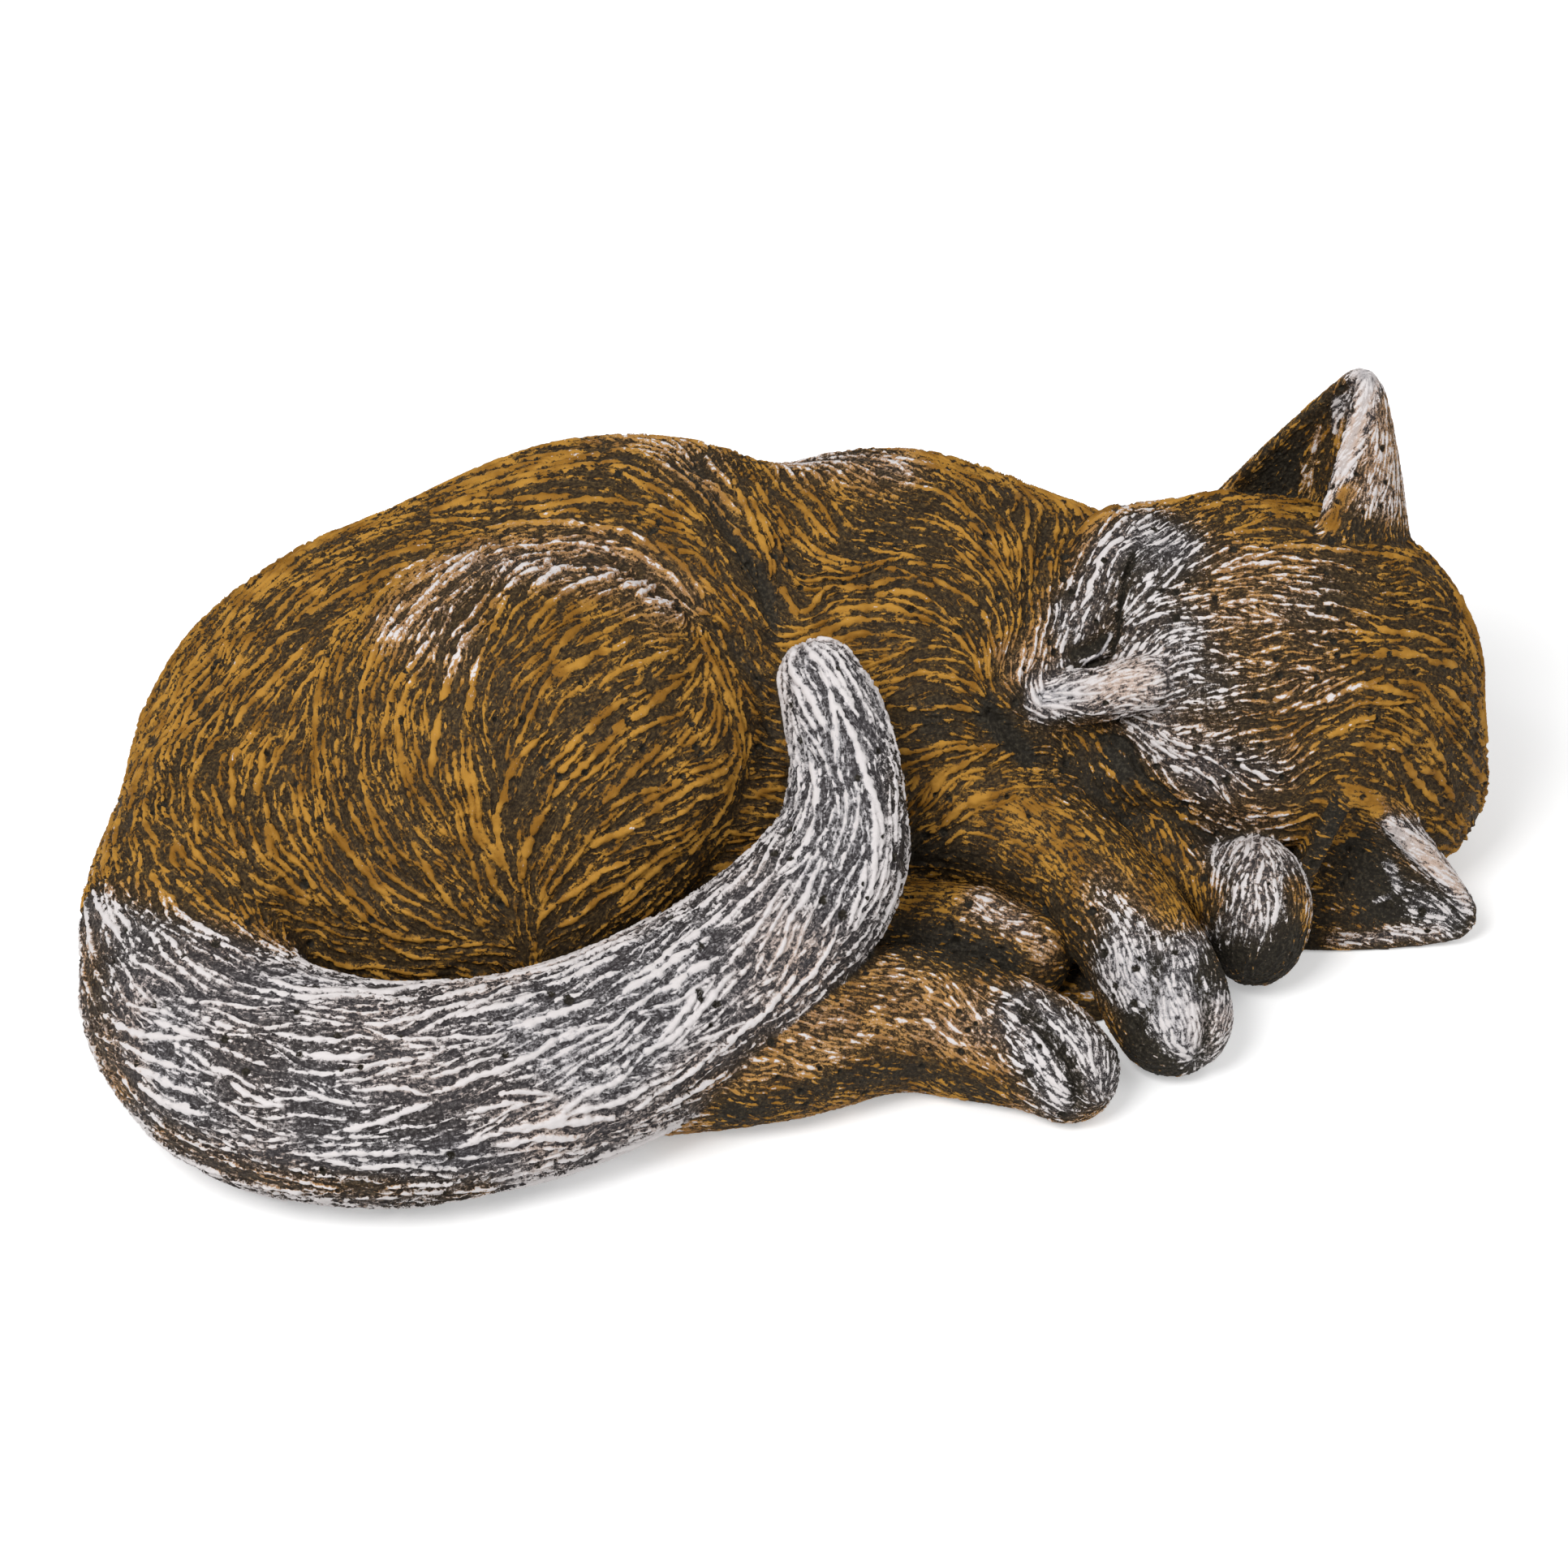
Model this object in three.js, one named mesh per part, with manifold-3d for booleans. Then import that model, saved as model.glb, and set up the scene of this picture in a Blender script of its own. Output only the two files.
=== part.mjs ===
// A sleeping cat for the garden, cast in stone: curled on its left side, with its tail wrapped
// round its haunch and its head on its paws. The real statue is one casting. It is modelled here
// as the forms it was carved in, each a closed solid that stops a hair short of its neighbours.
// Millimetres. +X is the cat's right end (the head), +Y its back, +Z up. It stands on z = 0.
import * as THREE from 'three'
import { mergeVertices } from 'three/addons/utils/BufferGeometryUtils.js'
import Module from 'manifold-3d'

const wasm = await Module()
wasm.setup()

// Clearances and softness
const SEAM = 0.3 // between two neighbouring forms
const BODY_SOFT = 10 // how far the big forms of the body melt into each other

// Body. A form's half sizes run across (X), up its lean, and through it.
const BODY_LEAN = 22 // degrees, how far the back forms lean away from the front
const FLANK_LEAN = 37
const RUMP_AT = [-74.5, 29.5, 26]
const RUMP_HALF = [92, 74, 60]
const LOIN_FROM_RUMP = [32, 9, 6]
const LOIN_HALF = [82, 81, 58]
const RIBS_FROM_RUMP = [95, 23.5, 19]
const RIBS_HALF = [58, 58, 50]
const WAIST_SHARE = 0.55 // where the waist lies on the way from rump to ribs
const CHEST_FROM_RIBS = [23, -25.5, -21]
const CHEST_HALF = [42, 22, 30]
const SKULL_FROM_RIBS = [109.5, -2.5, 3]
const NECK_START = [15.5, 13, 3.5] // from the ribs' middle
const NECK_END = [-45, 9.5, -0.5] // from the skull's middle
const NECK_START_RADIUS = 40
const NECK_END_RADIUS = 28
const TAIL_ROOT_FROM_RUMP = [-64, -41.5, 4] // the swelling where the tail leaves the rump
const TAIL_ROOT_HALF = [32, 36, 33]
const TAIL_ROOT_SOFT = 18
const FRONT_PAD_HALF = [63, 42, 13] // the low ground between the paws
const FRONT_PAD_FROM_RIBS = [23, -42]
const REAR_PAD_HALF = [52, 50, 26] // the low ground inside the curl of the tail
const REAR_PAD_FROM_RUMP = [-24, -60]

// Haunch: the thigh, with the seat below it
const HAUNCH_FROM_RUMP = [10, -17.5, 30]
const HAUNCH_HALF = [57, 50, 53]
const SEAT_FROM_HAUNCH = [-15.5, -17, -27]
const SEAT_HALF = [56, 40, 46]

// Tail, wound round the haunch: bearing from the haunch's middle in degrees, how far its centre
// line keeps outside the haunch's half sizes, its height and its radius
const TAIL_STATIONS = [
  [189, 11, 30, 18],
  [204.5, 29, 28, 22],
  [217.5, 44, 27, 26],
  [233.5, 51.5, 26, 27],
  [246.5, 48.5, 25, 26.5],
  [258.5, 41, 24, 25.5],
  [277, 29.5, 24, 24],
  [299, 22, 28, 22.5],
  [317.5, 22.5, 36, 20.5],
  [333, 25, 48, 17],
  [344, 21.5, 61, 13.5],
  [349.5, 17.5, 72.5, 12],
  [354.5, 13, 80, 10],
]

// Legs: each a run of points from its own form's middle, with height above the ground and radius
const HIND_FOOT_STATIONS = [
  [33, -72.5, 14, 15],
  [60, -66.5, 16, 17],
  [87, -54, 15, 17.5],
  [106.5, -57, 13, 16.5],
  [121, -63, 12, 14.5],
  [128, -69, 11, 12.5],
]
const HIND_FOOT_FAR_STATIONS = [
  [79.5, -24, 17, 14],
  [103, -26, 17, 13],
  [119.5, -30.5, 15, 11],
]
const FORELEG_STATIONS = [
  [-16, -8, 34, 18],
  [3.5, -14, 31, 17],
  [23, -25, 27, 15.5],
  [37.5, -44.5, 21, 15],
  [43.5, -59, 15, 15.5],
  [46, -66.5, 13, 14.5],
]
const FOREPAW_FAR_STATIONS = [
  [-43, -39.5, 24, 11],
  [-31.5, -46, 20, 10],
  [-21.5, -50.5, 20, 12],
]
const FOREPAW_FAR_TOES = { from: [-18.5, -54, -31], half: [13.7, 18.3, 18] } // leaning as the flank

// Head. It lies on its left cheek. Its own directions: face runs out of the nose, side out of the
// upper ear, brow out of the forehead. Places below are from the skull's middle along those, and
// soft is how far a form melts into those before it.
const FACE = [-0.98, -0.02, -0.2]
const SIDE = [-0.17, 0.59, 0.78]
const SKULL_HALF = [40, 41, 40]
const FOREHEAD = { from: [23, 5, 6], half: [38, 45, 37], soft: 16 }
const EYE_MOUND = { from: [43, 28, 16.5], half: [17, 22, 20], soft: 9 }
const LOWER_CHEEK = { from: [51, -12, 9], half: [30, 22, 24], soft: 8 }
const NAPE = { from: [-16, -24, -10], half: [21, 26, 26], soft: 8 }
const MUZZLE = { from: [66.5, 7.5, 21], half: [14, 15, 14], soft: 6 }
const WHISKER_PAD = { from: [67, 11.5, 26], half: [10.5, 10.5, 10], soft: 3 }
const EYELID = { from: [53, 25.5, 23], half: [16, 9, 12], soft: 4 }
const EYELID_TURN = 128 // degrees, from the face's direction towards the side's
const NOSE_TIP = [69, 6.2, 34]
const NOSE_TIP_RADIUS = 6.8
const NOSE_ROOT = [41, 6, 40]
const NOSE_ROOT_RADIUS = 7
const NOSE_SOFT = 2

// Ears. near and far are the feet of the two rims, tip is where they meet.
const EAR_WALL = 4
const EAR_ROOT = 11 // how deep an ear is set into the head
const EAR_LIP = 1.5 // how far the rims stand out of the mouth's plane
const EAR_TIP_SHARE = 0.08 // width of the blunt tip, as a share of the root's
const CUP_ROOT = 3 // how deep the cup goes below the feet of the rims
const EAR_FRONT_SHARE = 0.25 // how far the uncut cone reaches before the mouth, against its back
const EAR_FLARE = 1.12 // widest breadth of the back, against the breadth between the rims
const UPPER_EAR = {
  near: [-7.5, 32.5, 27.5],
  far: [12.5, 54, -4.5],
  tip: [-24, 73.5, 19.5],
  back: 38, // from the mouth of the ear to its back, at the root
  hollow: 19, // depth of the cup at the root
}
const LOWER_EAR = {
  near: [-0.5, -26.5, 32],
  far: [15, -69.5, 9.5],
  tip: [-27.5, -67, 9],
  back: 29,
  hollow: 15,
}

// Fur. Its carved locks run from the pole of a form to the other end, one to every three facets,
// and each has a steep side and a gentle one.
const LOCK_HEIGHT = 0.9 // of a crest over the form, and of the form over a hollow
const LOCK_FACETS = 3
const LOCK_SKEW = Math.PI / 6
const LOCK_FADE = 1.5 // how fast the locks rise from the poles
const BODY_POLE = [1, 0, 0]
const HAUNCH_POLE = [0.12, -1, 0]

// Facets. Where there is fur, those round a pole or a limb fill whole locks.
const BODY_FACETS = [66, 36]
const HEAD_FACETS = [57, 36]
const HAUNCH_FACETS = [39, 22]
const PAD_FACETS = [20, 10]
const TOE_FACETS = [20, 14]
const EAR_SIDES = 28
const EAR_STEPS = 4
const TAIL_SIDES = 21
const LEG_SIDES = 14
const LIMB_STEPS = 3 // rings from one station of a limb to the next
const FACET_TOLERANCE = 0.02 // shortest edge that a cut leaves
const MOUTH_BLOCK = 200 // side of the block that trims an ear's mouth

// Finish
const STONE = 0x33322b
const OCHRE = 0xa8731f
const WHITE = 0xdcd2cc
const STONE_ROUGHNESS = 0.9

const vector = (list) => new THREE.Vector3(...list)
const sum = (...lists) => lists.reduce((total, list) => total.map((value, i) => value + list[i]))

// Fields. Each returns how far a point is outside its form; inside it is negative.

function leaning(degrees) {
  const angle = THREE.MathUtils.degToRad(degrees)
  const [sine, cosine] = [Math.sin(angle), Math.cos(angle)]
  return [vector([1, 0, 0]), vector([0, sine, cosine]), vector([0, -cosine, sine])]
}

function ellipsoid(at, half, axes) {
  const middle = vector(at)
  return (point) => {
    const offset = point.clone().sub(middle)
    const along = axes.map((axis, i) => offset.dot(axis) / half[i])
    const reach = Math.hypot(...along)
    const slope = Math.hypot(...along.map((value, i) => value / half[i]))
    return (reach * (reach - 1)) / Math.max(slope, 1e-9)
  }
}

function rod(from, fromRadius, to, toRadius) {
  const start = vector(from)
  const run = vector(to).sub(start)
  return (point) => {
    const offset = point.clone().sub(start)
    const share = THREE.MathUtils.clamp(offset.dot(run) / run.lengthSq(), 0, 1)
    const radius = THREE.MathUtils.lerp(fromRadius, toRadius, share)
    return offset.addScaledVector(run, -share).length() - radius
  }
}

function melt(soft, first, ...others) {
  return (point) => others.reduce((near, field) => {
    const next = field(point)
    const share = THREE.MathUtils.clamp(0.5 + (0.5 * (next - near)) / soft, 0, 1)
    return THREE.MathUtils.lerp(next, near, share) - soft * share * (1 - share)
  }, first(point))
}

// Solids

function closed(geometry) {
  geometry.deleteAttribute('normal')
  geometry.deleteAttribute('uv')
  return mergeVertices(geometry, 1e-5)
}

function solid(geometry) {
  const corners = geometry.index.array
  const triangles = []
  for (let i = 0; i < corners.length; i += 3) {
    const [a, b, c] = corners.slice(i, i + 3)
    if (a !== b && b !== c && c !== a) triangles.push(a, b, c)
  }
  return new wasm.Manifold(new wasm.Mesh({
    numProp: 3,
    vertProperties: Float32Array.from(geometry.attributes.position.array),
    triVerts: Uint32Array.from(triangles),
  }))
}

// How far the locks of fur stand out at a bearing round their pole.
function lock(height, sides, bearing, fromPole) {
  const wave = Math.cos((sides / LOCK_FACETS) * bearing + LOCK_SKEW)
  return height * wave * Math.min(1, LOCK_FADE * fromPole)
}

// A ball whose points are moved out along their own rays to where the field meets grow, and by
// the locks of fur.
function skin(field, at, [columns, rows], grow = 0, pole = BODY_POLE, lockHeight = 0) {
  const middle = vector(at)
  const step = 2
  const along = vector(pole).normalize()
  const across = vector([0, 0, 1]).cross(along).normalize()
  const through = across.clone().cross(along)
  const turn = new THREE.Matrix4().makeBasis(across, along, through)
  const ball = closed(new THREE.SphereGeometry(1, columns, rows).applyMatrix4(turn))
  const places = ball.attributes.position
  for (let i = 0; i < places.count; i += 1) {
    const ray = new THREE.Vector3().fromBufferAttribute(places, i).normalize()
    const outside = (reach) => field(middle.clone().addScaledVector(ray, reach)) > grow
    let reach = step
    while (!outside(reach)) reach += step
    let inner = reach - step
    for (let halving = 0; halving < 16; halving += 1) {
      const half = (inner + reach) / 2
      if (outside(half)) reach = half
      else inner = half
    }
    const [aside, forth] = [ray.dot(across), ray.dot(through)]
    const crest = lock(lockHeight, columns, Math.atan2(forth, aside), Math.hypot(aside, forth))
    places.setXYZ(i, ...middle.clone().addScaledVector(ray, inner + crest))
  }
  return solid(ball)
}

// A limb along a curve through its stations, each with a place and a radius.
function limb(stations, sides, grow = 0, lockHeight = 0) {
  const path = new THREE.CatmullRomCurve3(
    stations.map(([x, y, z]) => vector([x, y, z])), false, 'catmullrom')
  const girth = new THREE.CatmullRomCurve3(
    stations.map((station) => vector([station[3] + grow, 0, 0])), false, 'catmullrom')
  const steps = (stations.length - 1) * LIMB_STEPS
  const capsule = closed(new THREE.CapsuleGeometry(1, steps, 4, sides, steps))
  const places = capsule.attributes.position
  const up = vector([0, 0, 1])
  for (let i = 0; i < places.count; i += 1) {
    const [across, along, through] = new THREE.Vector3().fromBufferAttribute(places, i)
    const onPath = THREE.MathUtils.clamp(along, -steps / 2, steps / 2)
    const share = onPath / steps + 0.5
    const ahead = path.getTangent(share)
    const side = up.clone().cross(ahead).normalize()
    const top = ahead.clone().cross(side)
    const crest = lock(lockHeight, sides, Math.atan2(through, across), Math.hypot(across, through))
    const radius = girth.getPoint(share).x + crest
    const place = path.getPoint(share)
      .addScaledVector(ahead, (along - onPath) * radius)
      .addScaledVector(top, across * radius)
      .addScaledVector(side, through * radius)
    places.setXYZ(i, ...place)
  }
  return solid(capsule)
}

const GROUND_SIZE = 1000
const ground = solid(closed(
  new THREE.BoxGeometry(GROUND_SIZE, GROUND_SIZE, GROUND_SIZE).translate(0, 0, -GROUND_SIZE / 2)))

// What is left of a form above the ground and outside its neighbours, without loose slivers.
function carve(form, ...neighbours) {
  const left = neighbours.reduce((rest, neighbour) => rest.subtract(neighbour), form.subtract(ground))
  const pieces = left.simplify(FACET_TOLERANCE).decompose()
  return pieces.reduce((best, piece) => (piece.volume() > best.volume() ? piece : best))
}

// Torso: rump, loin, ribs, neck and chest in one soft form, on the low ground between the limbs
const bodyAxes = leaning(BODY_LEAN)
const flankAxes = leaning(FLANK_LEAN)
const levelAxes = leaning(0)
const ribsAt = sum(RUMP_AT, RIBS_FROM_RUMP)
const chestAt = sum(ribsAt, CHEST_FROM_RIBS)
const skullAt = sum(ribsAt, SKULL_FROM_RIBS)

function torso(grow) {
  const field = melt(
    BODY_SOFT,
    ellipsoid(RUMP_AT, RUMP_HALF, bodyAxes),
    ellipsoid(sum(RUMP_AT, LOIN_FROM_RUMP), LOIN_HALF, bodyAxes),
    ellipsoid(ribsAt, RIBS_HALF, flankAxes),
    rod(sum(ribsAt, NECK_START), NECK_START_RADIUS, sum(skullAt, NECK_END), NECK_END_RADIUS),
    ellipsoid(chestAt, CHEST_HALF, flankAxes),
  )
  const rooted = melt(
    TAIL_ROOT_SOFT,
    field,
    ellipsoid(sum(RUMP_AT, TAIL_ROOT_FROM_RUMP), TAIL_ROOT_HALF, levelAxes),
  )
  const middle = sum(RUMP_AT, RIBS_FROM_RUMP.map((value) => value * WAIST_SHARE))
  const [frontX, frontY] = FRONT_PAD_FROM_RIBS
  const [rearX, rearY] = REAR_PAD_FROM_RUMP
  const frontAt = [ribsAt[0] + frontX, ribsAt[1] + frontY, 0]
  const rearAt = [RUMP_AT[0] + rearX, RUMP_AT[1] + rearY, 0]
  return skin(rooted, middle, BODY_FACETS, grow, BODY_POLE, LOCK_HEIGHT)
    .add(skin(ellipsoid(frontAt, FRONT_PAD_HALF, levelAxes), frontAt, PAD_FACETS, grow))
    .add(skin(ellipsoid(rearAt, REAR_PAD_HALF, levelAxes), rearAt, PAD_FACETS, grow))
}

const haunchAt = sum(RUMP_AT, HAUNCH_FROM_RUMP)

function haunch(grow) {
  const field = melt(
    BODY_SOFT,
    ellipsoid(haunchAt, HAUNCH_HALF, flankAxes),
    ellipsoid(sum(haunchAt, SEAT_FROM_HAUNCH), SEAT_HALF, flankAxes),
  )
  const middle = sum(haunchAt, SEAT_FROM_HAUNCH.map((value) => value / 2))
  return skin(field, middle, HAUNCH_FACETS, grow, HAUNCH_POLE, LOCK_HEIGHT)
}

function tail(grow) {
  const [across, , through] = HAUNCH_HALF
  const stations = TAIL_STATIONS.map(([bearing, outside, height, radius]) => {
    const angle = THREE.MathUtils.degToRad(bearing)
    const x = haunchAt[0] + (across + outside) * Math.cos(angle)
    const y = haunchAt[1] + (through + outside) * Math.sin(angle)
    return [x, y, height, radius]
  })
  return limb(stations, TAIL_SIDES, grow, LOCK_HEIGHT)
}

const from = (at, stations) => stations.map(([x, y, ...rest]) => [at[0] + x, at[1] + y, ...rest])
const hindFoot = (grow) => limb(from(haunchAt, HIND_FOOT_STATIONS), LEG_SIDES, grow)
const hindFootFar = (grow) => limb(from(haunchAt, HIND_FOOT_FAR_STATIONS), LEG_SIDES, grow)
const foreleg = (grow) => limb(from(chestAt, FORELEG_STATIONS), LEG_SIDES, grow)

function forepawFar(grow) {
  const toesAt = sum(skullAt, FOREPAW_FAR_TOES.from)
  const toes = ellipsoid(toesAt, FOREPAW_FAR_TOES.half, flankAxes)
  return limb(from(skullAt, FOREPAW_FAR_STATIONS), LEG_SIDES, grow)
    .add(skin(toes, toesAt, TOE_FACETS, grow))
}

const face = vector(FACE).normalize()
const side = vector(SIDE).addScaledVector(face, -vector(SIDE).dot(face)).normalize()
const brow = side.clone().cross(face)
const headAxes = [face, side, brow]
const eyelidAxes = headAxes.map((axis) =>
  axis.clone().applyAxisAngle(brow, -THREE.MathUtils.degToRad(EYELID_TURN)))

function onHead([out, aside, above]) {
  const place = vector(skullAt)
    .addScaledVector(face, out)
    .addScaledVector(side, aside)
    .addScaledVector(brow, above)
  return [...place]
}

function head(grow) {
  const join = (field, { from: place, half, soft }, axes = headAxes) =>
    melt(soft, field, ellipsoid(onHead(place), half, axes))
  const skull = ellipsoid(skullAt, SKULL_HALF, headAxes)
  const plain = [FOREHEAD, EYE_MOUND, LOWER_CHEEK, NAPE, MUZZLE, WHISKER_PAD]
    .reduce((field, form) => join(field, form), skull)
  const field = melt(
    NOSE_SOFT,
    join(plain, EYELID, eyelidAxes),
    rod(onHead(NOSE_TIP), NOSE_TIP_RADIUS, onHead(NOSE_ROOT), NOSE_ROOT_RADIUS),
  )
  return skin(field, onHead(FOREHEAD.from), HEAD_FACETS, grow, BODY_POLE, LOCK_HEIGHT)
}

// A cone with an oval section, from below a root point to a blunt tip. front and rear are how far
// it reaches out of the mouth and behind it at the root, and width is half its breadth there.
function cone({ root, up, across, out, height }, width, front, rear, depth) {
  const taper = (rise) => (1 - rise / height) * (1 - EAR_TIP_SHARE) + EAR_TIP_SHARE
  const middle = (rise) => root.clone()
    .addScaledVector(up, rise)
    .addScaledVector(out, ((front - rear) / 2) * taper(rise))
  const [bottom, top] = [middle(-depth), middle(height)]
  const length = height + depth
  const axis = top.clone().sub(bottom).divideScalar(length)
  const placing = new THREE.Matrix4()
    .makeBasis(across.clone().multiplyScalar(width), axis, out.clone().multiplyScalar((front + rear) / 2))
    .setPosition(bottom.add(top).divideScalar(2))
  const shape = new THREE.CylinderGeometry(taper(height), taper(-depth), length, EAR_SIDES, EAR_STEPS)
  return solid(closed(shape.applyMatrix4(placing)))
}

// An ear is a cone cut flat at its mouth and hollowed by a smaller cone.
function ear({ near, far, tip, back, hollow }) {
  const [nearFoot, farFoot, top] = [near, far, tip].map((place) => vector(onHead(place)))
  const root = nearFoot.clone().add(farFoot).divideScalar(2)
  const up = top.clone().sub(root)
  const height = up.length()
  up.normalize()
  const breadth = farFoot.clone().sub(nearFoot)
  const halfWidth = breadth.length() / 2
  const across = breadth.clone().addScaledVector(up, -breadth.dot(up)).normalize()
  const out = across.clone().cross(up)
  if (out.dot(brow) < 0) {
    across.negate()
    out.negate()
  }
  const frame = { root, up, across, out, height }
  const shell = cone(frame, halfWidth * EAR_FLARE, back * EAR_FRONT_SHARE, back, EAR_ROOT)
  const cupFrame = { ...frame, height: height - EAR_WALL }
  const cup = cone(cupFrame, halfWidth - EAR_WALL, hollow, hollow - EAR_WALL, CUP_ROOT)
  const turn = new THREE.Matrix4().makeBasis(across, up, out).setPosition(root)
  const beforeMouth = new THREE.BoxGeometry(MOUTH_BLOCK, MOUTH_BLOCK, MOUTH_BLOCK)
    .translate(0, 0, MOUTH_BLOCK / 2 + EAR_LIP)
    .applyMatrix4(turn)
  return shell.subtract(solid(closed(beforeMouth))).subtract(cup)
}

// The solids, the larger forms cutting the smaller ones
const headCut = head(SEAM)
const torsoCut = torso(SEAM)
const haunchCut = haunch(SEAM)
const tailCut = tail(SEAM)
const hindFootCut = hindFoot(SEAM)
const forelegCut = foreleg(SEAM)
const forepawFarCut = forepawFar(SEAM)

const FORMS = {
  torso: [carve(torso(0), headCut), OCHRE],
  haunch: [carve(haunch(0), torsoCut), OCHRE],
  tail: [carve(tail(0), torsoCut, haunchCut), WHITE],
  hind_foot: [carve(hindFoot(0), torsoCut, haunchCut, tailCut), OCHRE],
  hind_foot_far: [carve(hindFootFar(0), torsoCut, haunchCut, tailCut, hindFootCut, forelegCut), STONE],
  foreleg: [carve(foreleg(0), torsoCut, hindFootCut, headCut), OCHRE],
  forepaw_far: [carve(forepawFar(0), torsoCut, forelegCut, headCut), WHITE],
  head: [carve(head(0)), OCHRE],
  ear_upper: [carve(ear(UPPER_EAR), headCut), WHITE],
  ear_lower: [carve(ear(LOWER_EAR), headCut, torsoCut, forepawFarCut), WHITE],
}

const statue = new THREE.Group()
for (const [name, [form, colour]] of Object.entries(FORMS)) {
  const { vertProperties, triVerts } = form.getMesh()
  const geometry = new THREE.BufferGeometry()
  geometry.setAttribute('position', new THREE.BufferAttribute(vertProperties, 3))
  geometry.setIndex(new THREE.BufferAttribute(triVerts, 1))
  const finish = new THREE.MeshStandardMaterial({ color: colour, roughness: STONE_ROUGHNESS, metalness: 0 })
  const mesh = new THREE.Mesh(geometry, finish)
  mesh.name = name
  statue.add(mesh)
}

// The origin is under the middle of the statue's box.
const box = new THREE.Box3().setFromObject(statue)
const centre = box.getCenter(new THREE.Vector3())
statue.position.set(-centre.x, -centre.y, -box.min.z)

export default statue
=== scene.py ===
import math

import bpy
import numpy as np
from mathutils import Matrix, Vector


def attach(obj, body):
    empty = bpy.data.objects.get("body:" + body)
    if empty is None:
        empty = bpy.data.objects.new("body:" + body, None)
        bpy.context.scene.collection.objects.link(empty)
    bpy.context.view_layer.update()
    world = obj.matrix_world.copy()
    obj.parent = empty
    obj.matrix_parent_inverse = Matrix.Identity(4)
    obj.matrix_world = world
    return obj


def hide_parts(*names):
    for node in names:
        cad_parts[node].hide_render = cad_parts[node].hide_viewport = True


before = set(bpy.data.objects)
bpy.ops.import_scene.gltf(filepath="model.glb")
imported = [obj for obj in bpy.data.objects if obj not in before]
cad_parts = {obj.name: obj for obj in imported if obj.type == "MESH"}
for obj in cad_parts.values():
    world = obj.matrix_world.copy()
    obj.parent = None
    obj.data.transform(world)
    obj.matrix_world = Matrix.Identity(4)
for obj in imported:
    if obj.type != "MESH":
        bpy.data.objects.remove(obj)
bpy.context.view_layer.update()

# Lengths are in millimetres until a mesh is written, and in the frame of the CAD model.

MM = 0.001
SEED = 20
TINY = 1e-9


# Camera

IMAGE_SIDE = 1932
SENSOR = 36.0
CAMERA_TARGET = np.array([-4.2, 4.3, 50.0])
CAMERA_DISTANCE = 1300.0
CAMERA_ELEVATION = math.radians(37)
FOCAL_PIXELS = 6617
CLIP_END = 10

VIEW_ACROSS = np.array([1.0, 0.0, 0.0])
VIEW_UP = np.array([0.0, math.sin(CAMERA_ELEVATION), math.cos(CAMERA_ELEVATION)])
VIEW_BACK = np.array([0.0, -math.cos(CAMERA_ELEVATION), math.sin(CAMERA_ELEVATION)])


def add_camera():
    data = bpy.data.cameras.new("photo_camera")
    data.sensor_width = SENSOR
    data.lens = SENSOR * FOCAL_PIXELS / IMAGE_SIDE
    data.clip_end = CLIP_END
    camera = bpy.data.objects.new("photo_camera", data)
    bpy.context.scene.collection.objects.link(camera)
    place = (CAMERA_TARGET + CAMERA_DISTANCE * VIEW_BACK) * MM
    turn = Matrix((VIEW_ACROSS, VIEW_UP, VIEW_BACK)).transposed().to_4x4()
    camera.matrix_world = Matrix.Translation(Vector(place)) @ turn
    bpy.context.scene.camera = camera


# Distance fields

def length(rows):
    return np.sqrt((rows * rows).sum(-1))


def melt(a, b, soft):
    """Union of two fields with a rounded valley of the given softness."""
    share = np.clip(0.5 + 0.5 * (b - a) / soft, 0, 1)
    return b + (a - b) * share - soft * share * (1 - share)


def carve(a, b, soft):
    """What is common to two fields, with a rounded edge."""
    return -melt(-a, -b, soft)


def basis(first, second):
    """Three square axes, as rows, from a main direction and a rough second one."""
    x = np.array(first, float)
    x /= np.linalg.norm(x)
    y = np.array(second, float)
    y -= x * (x @ y)
    y /= np.linalg.norm(y)
    return np.array([x, y, np.cross(x, y)])


def leaning(degrees):
    """Axes across, up and through a body that leans back by an angle."""
    angle = math.radians(degrees)
    return basis((1, 0, 0), (0, math.sin(angle), math.cos(angle)))


def ellipsoid(points, centre, half, axes=None):
    local = points - np.array(centre, float)
    if axes is not None:
        local = local @ axes.T
    half = np.array(half, float)
    near = length(local / half)
    slope = length(local / (half * half))
    return near * (near - 1) / np.maximum(slope, TINY)


def smooth_path(stations, steps=5):
    """Catmull-Rom curve through the stations, as rows."""
    rows = np.array(stations, float)
    rows = np.vstack([2 * rows[0] - rows[1], rows, 2 * rows[-1] - rows[-2]])
    share = np.linspace(0, 1, steps, endpoint=False)[:, None]
    parts = []
    for i in range(1, len(rows) - 2):
        a, b, c, d = rows[i - 1:i + 3]
        bend = (2 * a - 5 * b + 4 * c - d) * share ** 2 + (3 * b - a - 3 * c + d) * share ** 3
        parts.append(0.5 * (2 * b + (c - a) * share + bend))
    parts.append(rows[-2][None])
    return np.vstack(parts)


# Locks of fur: broad ridges from the pole of a form to its other end

LOCK_HEIGHT = 0.45
LOCK_SKEW = math.pi / 6
LOCK_FADE = 1.5
LEAST_AWAY = 1e-6


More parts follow.
